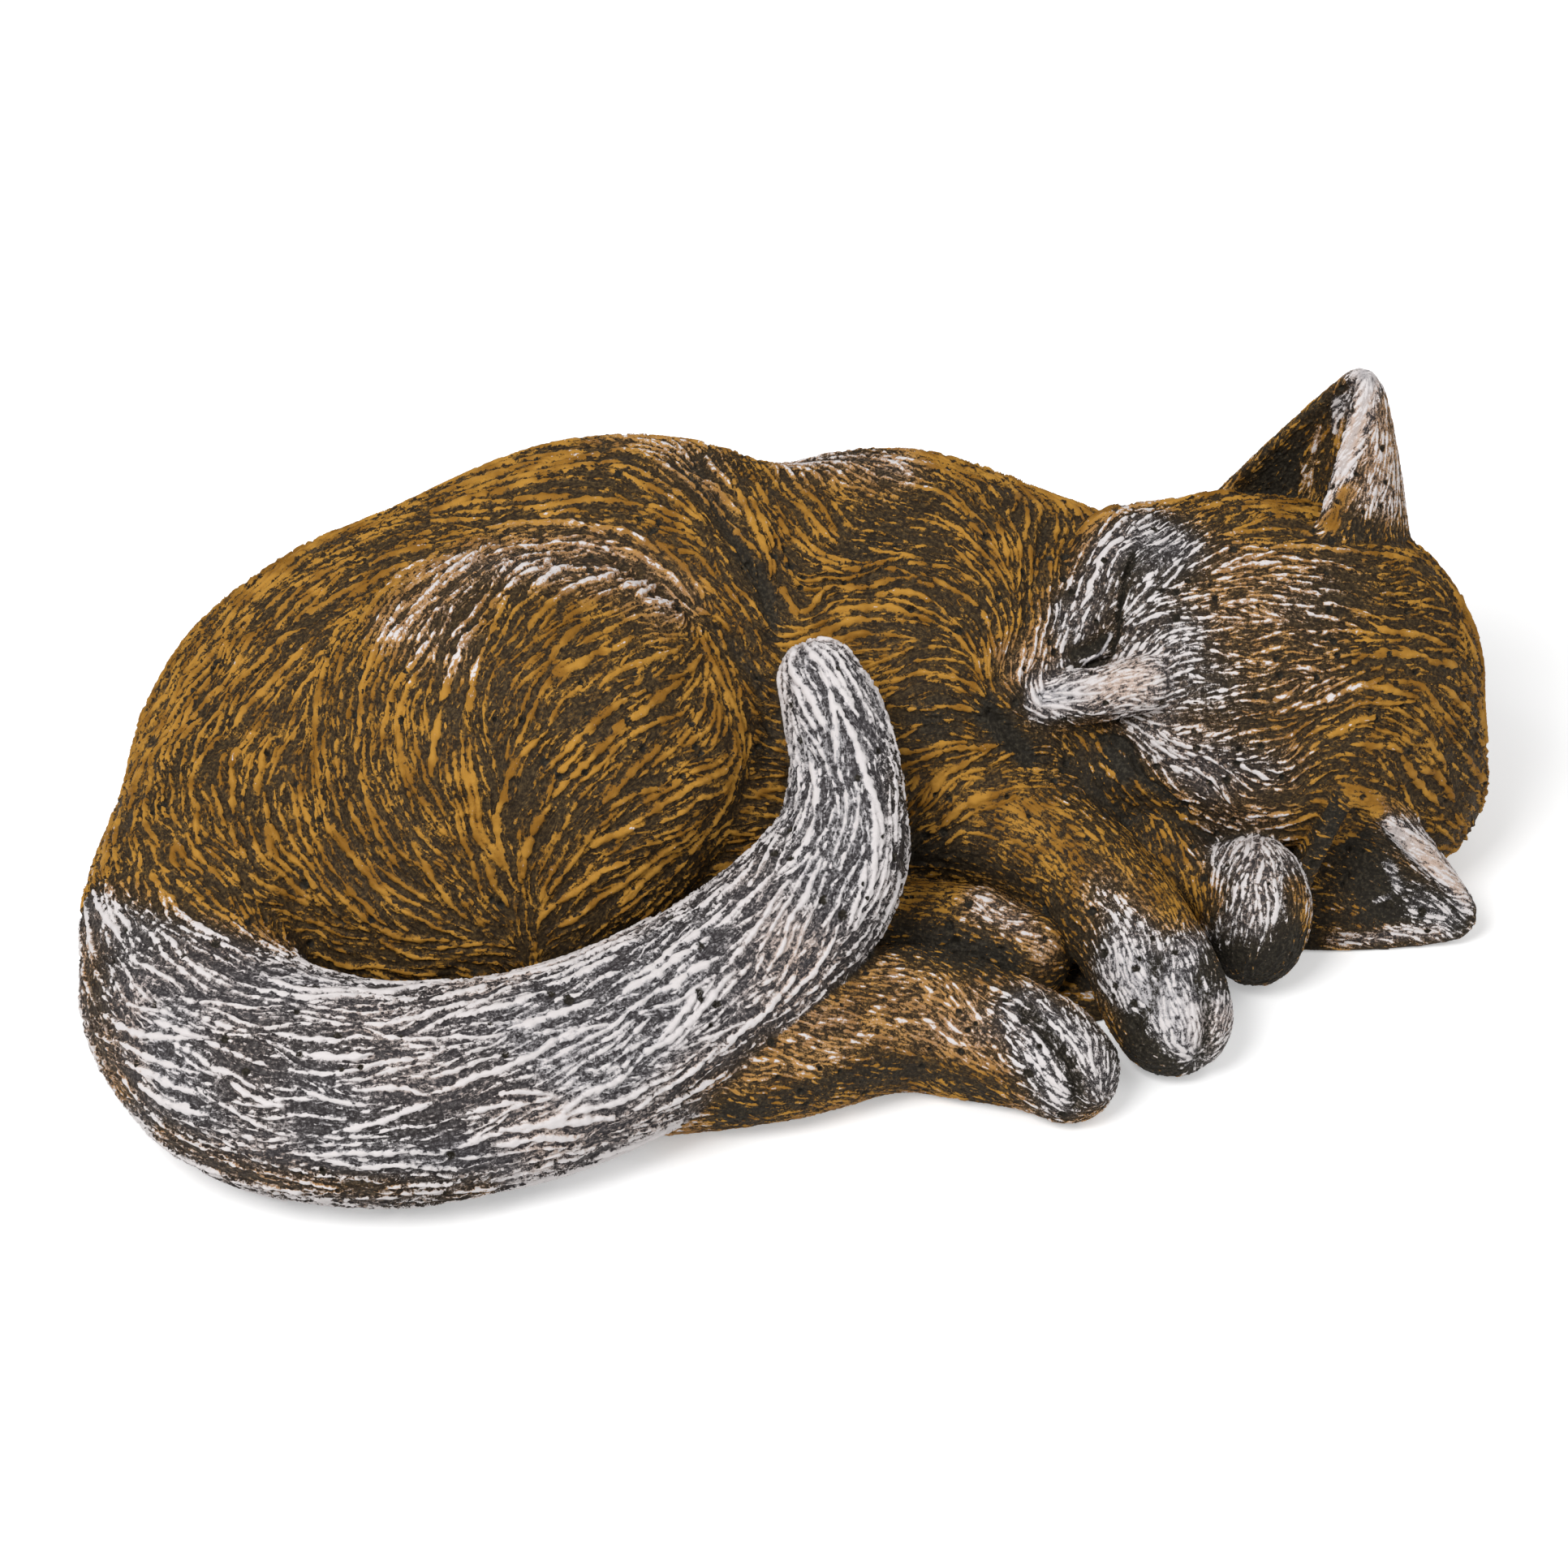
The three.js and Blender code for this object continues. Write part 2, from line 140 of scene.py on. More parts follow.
def locks_about(points, middle, pole, count):
    """How far the locks of a form stand out, from the pole's direction seen from its middle."""
    along = np.array(pole, float) / np.linalg.norm(pole)
    aside = np.cross((0, 0, 1), along)
    aside /= np.linalg.norm(aside)
    offset = points - np.array(middle, float)
    right, up = offset @ aside, offset @ np.cross(aside, along)
    wave = np.cos(count * np.arctan2(up, right) + LOCK_SKEW)
    away = length(offset) + LEAST_AWAY
    return LOCK_HEIGHT * wave * np.minimum(1, LOCK_FADE * np.hypot(right, up) / away)


FAR = 60.0


def along_path(points, path, reach=FAR):
    """Distance to a path less its radius, if it has one, and its direction at its nearest."""
    best = np.full(len(points), reach)
    heading = np.zeros((len(points), 3))
    low = path[:, :3].min(0) - reach
    high = path[:, :3].max(0) + reach
    near = np.nonzero(((points > low) & (points < high)).all(1))[0]
    close = points[near]
    found = np.full(len(near), reach)
    segment = np.zeros(len(near), int)
    for i, (start, end) in enumerate(zip(path[:-1], path[1:])):
        step = end[:3] - start[:3]
        share = np.clip((close - start[:3]) @ step / (step @ step), 0, 1)
        gap = length(close - start[:3] - share[:, None] * step)
        if path.shape[1] > 3:
            gap = gap - (start[3] + (end[3] - start[3]) * share)
        better = gap < found
        found[better] = gap[better]
        segment[better] = i
    best[near] = found
    steps = np.diff(path[:, :3], axis=0)
    steps /= length(steps)[:, None]
    heading[near] = steps[segment]
    return best, heading


def limb(points, stations):
    return along_path(points, smooth_path(stations))[0]


# Forms of the cat, the same as in the CAD model

BODY_AXES = leaning(22)
FLANK_AXES = leaning(37)
HEAD_AXES = basis((-0.981, -0.022, -0.195), (-0.17, 0.593, 0.787))
EYELID_AXES = basis((0.472, 0.53, 0.704), (0.881, -0.284, -0.377))
BODY_SOFT = 10

# Rounded masses: middle, half sizes and axes
RUMP = ((-75, 29.5, 26), (92, 74, 60), BODY_AXES)
LOIN = ((-43, 38.5, 32), (82, 81, 58), BODY_AXES)
RIBS = ((20, 53, 45), (58, 58, 50), FLANK_AXES)
CHEST = ((43, 27.5, 24), (42, 22, 30), FLANK_AXES)
TAIL_SWELLING = ((-139, -12, 30), (32, 36, 33))
FRONT_PAD = ((43, 11, 0), (63, 42, 13))
REAR_PAD = ((-99, -30.5, 0), (52, 50, 26))
THIGH = ((-65.5, 11.5, 56.5), (57, 50, 53), FLANK_AXES)
SEAT = ((-80.5, -5, 29), (56, 40, 46), FLANK_AXES)
FAR_PAW = ((111, -3.5, 17), (13.7, 18.3, 18), FLANK_AXES)
SKULL = ((129.5, 50.5, 48), (40, 41, 40), HEAD_AXES)

# Masses that melt into the skull one by one: each with the softness of its valley
HEAD_MASSES = [
    ((105.5, 47.5, 51), (38, 45, 37), HEAD_AXES, 16),
    ((81, 53, 71.5), (17, 22, 20), HEAD_AXES, 9),
    ((80.5, 34.5, 33.5), (30, 22, 24), HEAD_AXES, 8),
    ((150.5, 44, 26.5), (21, 26, 26), HEAD_AXES, 8),
    ((60.5, 36.5, 53), (14, 15, 14), HEAD_AXES, 6),
    ((59.4, 34.8, 58.9), (10.5, 10.5, 10), FLANK_AXES, 3),
    ((70.9, 46.3, 70.8), (16, 9, 12), EYELID_AXES, 4),
]

# Locks of a form: the middle that they run about, the pole that they start from, and their count
TORSO_LOCKS = ((-22.8, 42.4, 36.4), (1, 0, 0), 22)
HAUNCH_LOCKS = ((-72.8, 3.5, 42.5), (0.12, -1, 0), 13)
HEAD_LOCKS = ((105.5, 47.5, 51), (1, 0, 0), 19)

# Limbs: stations with their radius

TAIL = [
    (-132, 2, 30, 18), (-143, -22, 28, 22), (-145, -47, 27, 26), (-129.5, -72, 26, 27),
    (-107, -81, 25, 26.5), (-84.5, -80, 24, 25.5), (-54.5, -70, 24, 24),
    (-26.5, -53.5, 28, 22.5), (-6.5, -39, 36, 20.5), (8, -23.5, 48, 17), (10.5, -8.5, 61, 13.5),
    (8, -1, 72.5, 12), (4.5, 5.5, 80, 10),
]
HIND_FOOT = [
    (-32, -61, 14, 15), (-5.5, -55, 16, 17), (22, -42.5, 15, 17.5), (41, -45, 13, 16.5),
    (56, -51, 12, 14.5), (63, -57, 11, 12.5),
]
HIND_FOOT_FAR = [(14.5, -12, 17, 14), (38, -14, 17, 13), (54.5, -18.5, 15, 11)]
FORELEG = [
    (26.5, 19, 34, 18), (46.5, 13.5, 31, 17), (66, 2, 27, 15.5), (80, -17.5, 21, 15),
    (86.5, -31.5, 15, 15.5), (89, -39, 13, 14.5),
]
FOREPAW_FAR = [(86.5, 11, 24, 11), (98, 4.5, 20, 10), (108, 0, 20, 12)]
NECK = [(35.5, 66, 48.5, 40), (55, 66.5, 49.5, 36), (70, 64, 49.5, 32), (84, 60, 47.5, 28)]
NOSE = [(57.5, 25.5, 59, 6.8), (70.5, 23, 63, 6.7), (84, 21, 68, 7)]
NOSE_CUT = 2.5
NOSE_EDGE = 3
NOSE_SOFT = 2
SWELLING_SOFT = 18
PAD_SOFT = 4
FAR_PAW_SOFT = 4


def torso(p):
    form = melt(ellipsoid(p, *RUMP), ellipsoid(p, *LOIN), BODY_SOFT)
    form = melt(form, ellipsoid(p, *RIBS), BODY_SOFT)
    form = melt(form, limb(p, NECK), BODY_SOFT)
    form = melt(form, ellipsoid(p, *CHEST), BODY_SOFT)
    form = melt(form, ellipsoid(p, *TAIL_SWELLING), SWELLING_SOFT)
    form = form - locks_about(p, *TORSO_LOCKS)
    form = melt(form, ellipsoid(p, *FRONT_PAD), PAD_SOFT)
    return melt(form, ellipsoid(p, *REAR_PAD), PAD_SOFT)


def haunch(p):
    form = melt(ellipsoid(p, *THIGH), ellipsoid(p, *SEAT), BODY_SOFT)
    return form - locks_about(p, *HAUNCH_LOCKS)


def tail(p):
    return limb(p, TAIL)


def hind_foot(p):
    return limb(p, HIND_FOOT)


def hind_foot_far(p):
    return limb(p, HIND_FOOT_FAR)


def foreleg(p):
    return limb(p, FORELEG)


def forepaw_far(p):
    return melt(ellipsoid(p, *FAR_PAW), limb(p, FOREPAW_FAR), FAR_PAW_SOFT)


def nose(p):
    start, middle = (np.array(station[:3]) for station in NOSE[:2])
    ahead = (start - middle) / np.linalg.norm(start - middle)
    return carve(limb(p, NOSE), (p - start) @ ahead - NOSE_CUT, NOSE_EDGE)


def head(p):
    form = ellipsoid(p, *SKULL)
    for *mass, soft in HEAD_MASSES:
        form = melt(form, ellipsoid(p, *mass), soft)
    form = form - locks_about(p, *HEAD_LOCKS)
    return melt(form, nose(p), NOSE_SOFT)


# An ear narrows from its feet, at 1, to its tip; its mouth, cup and tip have rounded edges
EAR_WALL = 4.0
EAR_CURVE = 0.85
EAR_RANGE = (0.02, 1.3)
EAR_TIP_SHARE = 0.1
EAR_MOUTH = 1.5
MOUTH_EDGE = 3
TIP_EDGE = 4
CUP_SHIFT = 1.0
CUP_EDGE = 1.5
LEAST_CUP = 0.4


def ear(p, near, far, tip, back, deep, hollow, root, cup_root):
    """A cupped ear on two feet; back is how far its round back stands behind the mouth."""
    near, far, tip = (np.array(corner, float) for corner in (near, far, tip))
    middle = (near + far) / 2
    height = np.linalg.norm(tip - middle)
    half = np.linalg.norm(near - far) / 2
    axes = basis(tip - middle, near - far)
    if axes[2] @ VIEW_BACK < 0:
        axes[2] *= -1
    local = (p - middle) @ axes.T
    narrow = np.clip(1 - local[:, 0] / height, *EAR_RANGE) ** EAR_CURVE
    taper = narrow * (1 - EAR_TIP_SHARE) + EAR_TIP_SHARE

    def tube(wide, thick, centre):
        reach = np.sqrt((local[:, 1] / wide) ** 2 + ((local[:, 2] - centre) / thick) ** 2)
        return (reach - 1) * np.minimum(wide, thick)

    wide = half / math.sqrt(1 - (back / deep) ** 2)
    outside = tube(wide * taper, deep * taper, -back * taper)
    outside = carve(outside, local[:, 2] - EAR_MOUTH, MOUTH_EDGE)
    outside = carve(outside, local[:, 0] - height, TIP_EDGE)
    outside = np.maximum(outside, -local[:, 0] - root)
    cup_half = np.maximum(half * taper - EAR_WALL, LEAST_CUP)
    cup_deep = np.maximum(hollow * taper - EAR_WALL / 2, LEAST_CUP)
    cup = np.maximum(tube(cup_half, cup_deep, CUP_SHIFT), -local[:, 0] - cup_root)
    return carve(outside, -cup, CUP_EDGE)


UPPER_EAR = dict(near=(128, 48, 91), far=(108.5, 86, 85), tip=(138, 78.5, 122),
                 back=13.5, deep=28.5, hollow=19, root=18, cup_root=5)
LOWER_EAR = dict(near=(131, 9, 46), far=(125.5, 1, -4), tip=(167, 4, 6),
                 back=9, deep=20, hollow=15, root=7, cup_root=2)


def ear_upper(p):
    return ear(p, **UPPER_EAR)


def ear_lower(p):
    return ear(p, **LOWER_EAR)


# Each form with the softness of the valley where it meets those before it
FORMS = {
    "torso": (torso, 0), "haunch": (haunch, 3), "head": (head, 3), "foreleg": (foreleg, 4),
    "tail": (tail, 1.5), "hind_foot": (hind_foot, 2), "hind_foot_far": (hind_foot_far, 2),
    "forepaw_far": (forepaw_far, 2), "ear_upper": (ear_upper, 3), "ear_lower": (ear_lower, 3),
}
NAMES = list(FORMS)
TAIL_ROOT = np.array([-155.0, -30.0, 40.0])
TAIL_ROOT_SOFT = 30.0
TAIL_ROOT_REACH = 26.0


def statue(p):
    form = torso(p)
    for name in NAMES[1:]:
        shape, soft = FORMS[name]
        if name == "tail":
            soft = soft + TAIL_ROOT_SOFT * np.exp(-length(p - TAIL_ROOT) / TAIL_ROOT_REACH)
        form = melt(form, shape(p), soft)
    return np.maximum(form, -p[:, 2])


# Surface of the statue as a mesh

GRID = 1.2
GRID_LOW = np.array([-184.0, -118.0, -2 * GRID])
GRID_BLOCKS = (38, 24, 13)
COARSEST = 8
NEAR_CELLS = 2.2
CHUNK = 200000


def in_chunks(field, points):
    return np.concatenate([field(points[i:i + CHUNK]) for i in range(0, len(points), CHUNK)])


def lattice(field, stride):
    """Field values on a lattice, exact near the surface and interpolated elsewhere."""
    counts = [blocks * COARSEST // stride + 1 for blocks in GRID_BLOCKS]
    spacing = GRID * stride
    if stride == COARSEST:
        index = np.argwhere(np.ones(counts, bool))
        return field(GRID_LOW + spacing * index).reshape(counts)
    values = lattice(field, stride * 2)
    for axis in range(3):
        first = np.moveaxis(values, axis, 0)
        finer = np.empty((2 * len(first) - 1, *first.shape[1:]))
        finer[::2] = first
        finer[1::2] = (first[1:] + first[:-1]) / 2
        values = np.moveaxis(finer, 0, axis)
    near = np.abs(values) < NEAR_CELLS * spacing
    index = np.argwhere(near)
    values[near] = in_chunks(field, GRID_LOW + spacing * index)
    return values


def crossing_sums(values, inside, counts):
    """For each cell, the sum of the places where its edges cross the surface, and their count."""
    total = np.zeros((*(counts - 1), 3), np.float32)
    crossings = np.zeros(counts - 1, np.int8)
    corners = [(i, j, k) for i in (0, 1) for j in (0, 1) for k in (0, 1)]

    def at(corner):
        return tuple(slice(corner[i], counts[i] - 1 + corner[i]) for i in range(3))

    for axis in range(3):
        for corner in corners:
            if corner[axis]:
                continue
            other = list(corner)
            other[axis] = 1
            a, b = values[at(corner)], values[at(other)]
            cross = inside[at(corner)] != inside[at(other)]
            share = np.where(cross, a / np.where(cross, a - b, 1), 0)
            for i in range(3):
                total[..., i] += np.where(cross, corner[i] + (share if i == axis else 0), 0)
            crossings += cross
    return total, crossings


def facing_quads(inside, counts, number):
    """A quad that faces out round each lattice edge that crosses the surface."""
    quads = []
    for axis in range(3):
        b, c = (axis + 1) % 3, (axis + 2) % 3
        low = [slice(None)] * 3
        high = [slice(None)] * 3
        low[axis] = slice(0, counts[axis] - 1)
        high[axis] = slice(1, counts[axis])
        edges = np.argwhere(inside[tuple(low)] != inside[tuple(high)])
        outward = inside[tuple(low)][tuple(edges.T)]
        around = []
        for step_b, step_c in ((-1, -1), (0, -1), (0, 0), (-1, 0)):
            cell = edges.copy()
            cell[:, b] += step_b
            cell[:, c] += step_c
            around.append(number[tuple(cell.T)])
        quad = np.stack(around, -1)
        quad[~outward] = quad[~outward][:, ::-1]
        quads.append(quad)
    return np.vstack(quads)


def surface_net(values):
    """Vertices in the cells that the surface crosses, and quads that face out."""
    inside = values < 0
    counts = np.array(values.shape)
    total, crossings = crossing_sums(values, inside, counts)
    used = crossings > 0
    number = np.full(counts - 1, -1, np.int64)
    number[used] = np.arange(used.sum())
    cells = np.argwhere(used)
    points = GRID_LOW + GRID * (cells + total[used] / crossings[used][:, None])
    return points, facing_quads(inside, counts, number)


SLOPE_REACH = 0.15
LEAST_SLOPE = 0.5


def settle(points):
    """Moves points onto the statue's surface along the field's slope."""
    corners = np.array([(1, -1, -1), (-1, 1, -1), (-1, -1, 1), (1, 1, 1)], float)
    values = [in_chunks(statue, points + SLOPE_REACH * corner) for corner in corners]
    slope = sum(value[:, None] * corner for value, corner in zip(values, corners))
    slope /= 4 * SLOPE_REACH
    distance = sum(values) / 4
    size = np.maximum((slope * slope).sum(-1), LEAST_SLOPE ** 2)
    points = points - slope * (distance / size)[:, None]
    points[:, 2] = np.maximum(points[:, 2], 0)
    return points


def spread(index, rows, size):
    """Sum of the rows that share an index."""
    return np.stack([np.bincount(index, rows[:, i], size) for i in range(rows.shape[1])], -1)


def quad_edges(quads):
    """Unique edges of the quads, and each quad's four edge numbers."""
    pairs = np.stack([quads, np.roll(quads, -1, 1)], -1).reshape(-1, 2)
    pairs = np.sort(pairs, 1)
    key = pairs[:, 0] * (quads.max() + 1) + pairs[:, 1]
    _, first, inverse = np.unique(key, return_index=True, return_inverse=True)
    return pairs[first], inverse.reshape(-1, 4)


def quartered(quads, edge_of, middle_of):
    """Four quads for each one, given the numbers of the points on its edges and in its middle."""
    return [np.stack([quads[:, i], edge_of[:, i], middle_of, edge_of[:, i - 1]], -1)
            for i in range(4)]


def subdivide(points, quads):
    """One Catmull-Clark step."""
    count = len(points)
    edges, sides = quad_edges(quads)
    middles = points[quads].mean(1)
    around = np.bincount(sides.ravel(), minlength=len(edges))[:, None]
    face_sum = spread(sides.ravel(), np.repeat(middles, 4, 0), len(edges))
    ends = points[edges]
    edge_points = (ends.sum(1) + face_sum) / (2 + around)
    valence = np.bincount(quads.ravel(), minlength=count)[:, None]
    face_mean = spread(quads.ravel(), np.repeat(middles, 4, 0), count) / np.maximum(valence, 1)
    edge_count = np.bincount(edges.ravel(), minlength=count)[:, None]
    edge_middles = np.repeat(ends.mean(1), 2, 0)
    edge_mean = spread(edges.ravel(), edge_middles, count) / np.maximum(edge_count, 1)
    n = np.maximum(valence, 3)
    moved = (face_mean + 2 * edge_mean + (n - 3) * points) / n
    new_points = np.vstack([moved, edge_points, middles])
    middle_of = np.arange(len(quads)) + count + len(edges)
    return new_points, np.vstack(quartered(quads, sides + count, middle_of))


def refine(points, quads, chosen):
    """Splits the chosen quads in four, straight across.

    Gives the quads, the ends of each split edge, the corners of each split quad, and which of
    those edges have only one split quad beside them.
    """
    split = quads[chosen]
    edges, sides = quad_edges(split)
    middle_of = np.arange(len(split)) + len(points) + len(edges)
    parts = [quads[~chosen], *quartered(split, sides + len(points), middle_of)]
    border = np.bincount(sides.ravel(), minlength=len(edges)) == 1
    return np.vstack(parts), edges, split, border


def extend(values, edges, split):
    """Values at the points of refined quads: those given, then at the edges and the middles."""
    return np.concatenate([values, values[edges].mean(1), values[split].mean(1)])


def normals_of(points, quads):
    cross = np.cross(points[quads[:, 2]] - points[quads[:, 0]],
                     points[quads[:, 3]] - points[quads[:, 1]])
    total = spread(quads.ravel(), np.repeat(cross, 4, 0), len(points))
    return total / np.maximum(length(total), TINY)[:, None]


def nearest_form(points):
    """Number of the form nearest to each point."""
    return np.argmin([in_chunks(FORMS[name][0], points) for name in NAMES], 0)


SMOOTH_ROUNDS = 40


def hollowness(points, quads, normals):
    """How far the neighbourhood stands above each point: high in creases, negative on ridges."""
    edges, _ = quad_edges(quads)
    both = np.vstack([edges, edges[:, ::-1]])
    count = np.maximum(np.bincount(both[:, 0], minlength=len(points)), 1)[:, None]
    smooth = points
    for _ in range(SMOOTH_ROUNDS):
        smooth = spread(both[:, 0], smooth[both[:, 1]], len(points)) / count
    return ((smooth - points) * normals).sum(-1)


# Lie of the fur, as lines that a few strands follow, from the rump and the nose outwards

HAUNCH_FLOW = [
    [(-67, -47, 43), (-78, -45, 52), (-87, -40, 61), (-95, -33, 70), (-99, -25, 80),
     (-97, -16, 91), (-92, -5, 99), (-83, 6, 105)],
    [(-65, -46, 44), (-73, -43, 56), (-79, -38, 69), (-82, -31, 83), (-83, -24, 92),
     (-79, -15, 100), (-71, -3, 106), (-59, 12, 107), (-48, 21, 104)],
    [(-64, -46, 45), (-66, -42, 58), (-63, -39, 72), (-55, -34, 82), (-45, -26, 89), (-34, -17, 90)],
    [(-64, -46, 44), (-58, -42, 55), (-48, -38, 64), (-37, -32, 69), (-25, -24, 70), (-17, -14, 67)],
    [(-62, -46, 43), (-53, -42, 47), (-42, -36, 51), (-28, -28, 55), (-19, -18, 58)],
    [(-68, -29, 91), (-61, -21, 98), (-51, -12, 101), (-40, 0, 101)],
    [(-54, -24, 94), (-43, -15, 97), (-32, -5, 95), (-25, 4, 92)],
    [(-16, -16, 55), (-12, -7, 67), (-14, 2, 80), (-20, 9, 89)],
    [(-66, -47, 42), (-82, -48, 43), (-97, -46, 42), (-109, -43, 41), (-119, -36, 42)],
    [(-97, -46, 42), (-107, -40, 51), (-113, -30, 58)],
]
TORSO_FLOW = [
    [(-119, -37, 37), (-131, -44, 50), (-145, -36, 55), (-151, -17, 57), (-152, 11, 56),
     (-144, 20, 71), (-131, 31, 83), (-116, 40, 91), (-100, 45, 96), (-84, 42, 101)],
    [(-166, -24, 48), (-164, 26, 35), (-157, 25, 58), (-146, 32, 73), (-132, 44, 82), (-115, 60, 86),
     (-97, 63, 92), (-77, 62, 102), (-57, 60, 109), (-41, 60, 110), (-29, 49, 109), (-19, 35, 104),
     (-11, 25, 97), (-5, 17, 88)],
    [(-132, -24, 54), (-136, -4, 58), (-132, 5, 71), (-122, 13, 82), (-108, 19, 91)],
    [(-84, 38, 101), (-68, 37, 105), (-52, 36, 107), (-37, 32, 106), (-25, 26, 101), (-16, 17, 93),
     (-8, 9, 82)],
    [(-23, 71, 104), (-16, 50, 106), (-9, 36, 101), (-4, 26, 94), (-2, 16, 86)],
    [(-6, 77, 96), (3, 50, 100), (10, 41, 97), (19, 38, 95), (29, 39, 95), (38, 38, 92), (45, 34, 88),
     (50, 28, 80)],
    [(3, 82, 94), (15, 77, 97), (27, 67, 99), (38, 60, 97), (46, 51, 93), (52, 40, 87), (54, 29, 78)],
    [(-4, 15, 86), (0, 20, 88), (6, 26, 90), (14, 29, 91), (24, 31, 91), (34, 29, 88), (42, 24, 81),
     (46, 17, 71)],
    [(17, -3, 81), (24, 13, 75), (32, 16, 77), (40, 16, 74)],
    [(22, -10, 70), (30, 7, 64), (38, 10, 65), (45, 10, 62)],
    [(59, 70, 88), (57, 47, 86), (54, 32, 80), (50, 21, 74)],
    [(26, 0, 45), (32, 3, 52), (40, 6, 55), (47, 9, 55)],
    [(-158, 45, 20), (-140, 70, 30), (-112, 92, 38), (-75, 106, 42), (-35, 108, 45), (5, 106, 45),
     (40, 104, 42), (70, 98, 38)],
    [(-150, 45, 55), (-125, 68, 68), (-92, 86, 78), (-55, 94, 84), (-15, 98, 80), (20, 98, 76),
     (50, 94, 74), (75, 88, 68)],
]
HEAD_FLOW = [
    [(56, 20, 65), (65, 21, 66), (74, 19, 69), (81, 18, 73), (91, 22, 74), (102, 20, 77),
     (111, 20, 78), (123, 21, 79), (142, 24, 76), (154, 29, 71), (165, 35, 61)],
    [(80, 21, 74), (83, 29, 77), (87, 31, 81), (95, 31, 85), (103, 31, 86), (109, 30, 87),
     (115, 29, 86), (128, 26, 82), (140, 26, 79)],
    [(81, 28, 74), (87, 29, 79), (96, 28, 82), (105, 27, 84)],
    [(78, 36, 83), (81, 40, 87), (86, 46, 91), (92, 52, 92), (100, 58, 93)],
    [(84, 36, 85), (90, 41, 89), (96, 44, 91), (106, 48, 93), (116, 52, 93)],
    [(94, 34, 86), (101, 35, 88), (110, 36, 90), (115, 37, 90), (129, 38, 89), (140, 36, 85),
     (150, 39, 81)],
    [(106, 43, 92), (115, 44, 92), (124, 43, 91), (138, 44, 88), (151, 52, 82)],
    [(62, 32, 74), (64, 40, 79), (66, 48, 83), (71, 50, 89), (77, 54, 92), (85, 60, 92)],
    [(71, 34, 72), (72, 38, 81), (74, 44, 88), (78, 50, 92), (83, 54, 92)],
    [(68, 32, 68), (72, 33, 69), (76, 32, 75)],
    [(50, 21, 73), (55, 26, 74), (60, 32, 75)],
    [(80, 17, 71), (87, 15, 71), (94, 18, 71), (102, 18, 74), (110, 19, 77)],
    [(101, 15, 70), (114, 16, 74), (128, 19, 76), (137, 22, 76)],
    [(87, 16, 60), (96, 14, 64), (105, 13, 67), (110, 12, 67), (123, 14, 70), (137, 18, 72),
     (149, 22, 68), (159, 26, 60), (166, 32, 46), (169, 34, 36)],
    [(87, 16, 59), (98, 11, 59), (109, 9, 60), (119, 10, 62), (130, 13, 66), (142, 17, 66),
     (152, 19, 61), (160, 23, 50), (165, 27, 37)],
    [(85, 15, 54), (94, 10, 52), (103, 8, 49), (107, 7, 44), (113, 6, 43)],
    [(119, 7, 53), (126, 9, 59), (135, 11, 60), (145, 14, 56), (152, 17, 47)],
    [(81, 15, 50), (86, 12, 45), (94, 10, 36), (104, 5, 31), (113, -5, 33)],
    [(79, 14, 47), (84, 11, 40), (92, 8, 34), (100, 5, 30)],
    [(119, 6, 50), (124, 8, 56), (132, 10, 56), (141, 11, 49), (148, 14, 38)],
    [(150, 52, 83), (156, 52, 78), (162, 45, 71), (165, 36, 60)],
    [(142, 28, 80), (152, 32, 76), (163, 42, 67), (168, 46, 57)],
    [(52, 13, 59), (60, 18, 56), (70, 18, 49), (72, 9, 41)],
    [(54, 12, 54), (62, 11, 47), (72, 4, 42), (81, -3, 37)],
    [(62, 19, 55), (68, 21, 52), (74, 15, 46), (80, 10, 34)],
    [(120, 84, 82), (140, 84, 70), (155, 78, 55), (164, 68, 38)],
    [(90, 88, 70), (110, 92, 55), (130, 90, 35), (145, 82, 20)],
]
FLOW_NEAR = 5.0
TAIL_LIFT = 0.22
FOOT_LEAN = 0.45
FUR_SWAY = 0.16
SWAY_WAVES = (14, 6)
PAW_MEETING_POINT = np.array([107.0, -24.0, 0.0])


WAVES = 9
WAVE_STRETCH = (0.7, 1.5)
WAVE_PEAK = 1.6
WHOLE_TURN = 6.3


def ripple(points, wavelength, random):
    """A smooth random field through space, mostly between -1 and 1."""
    total = np.zeros(len(points))
    for _ in range(WAVES):
        direction = random.normal(size=3)
        direction /= np.linalg.norm(direction)
        pitch = 2 * np.pi / (wavelength * random.uniform(*WAVE_STRETCH))
        total += np.sin(points @ direction * pitch + random.uniform(0, WHOLE_TURN))
    return total / math.sqrt(WAVES / 2) / WAVE_PEAK


def follow_lines(points, lines):
    """Mean heading of the guide lines, the nearest ones counting most."""
    rows = [np.array(line, float) for line in lines]
    middles = np.vstack([(row[1:] + row[:-1]) / 2 for row in rows])
    steps = np.vstack([np.diff(row, axis=0) for row in rows])
    size = length(steps)
    steps = steps / size[:, None]
    heading = np.zeros_like(points)
    for middle, step, weight in zip(middles, steps, np.sqrt(size)):
        square = ((points - middle) ** 2).sum(-1)
        heading += (weight / (square + FLOW_NEAR ** 2) ** 2)[:, None] * step
    return heading


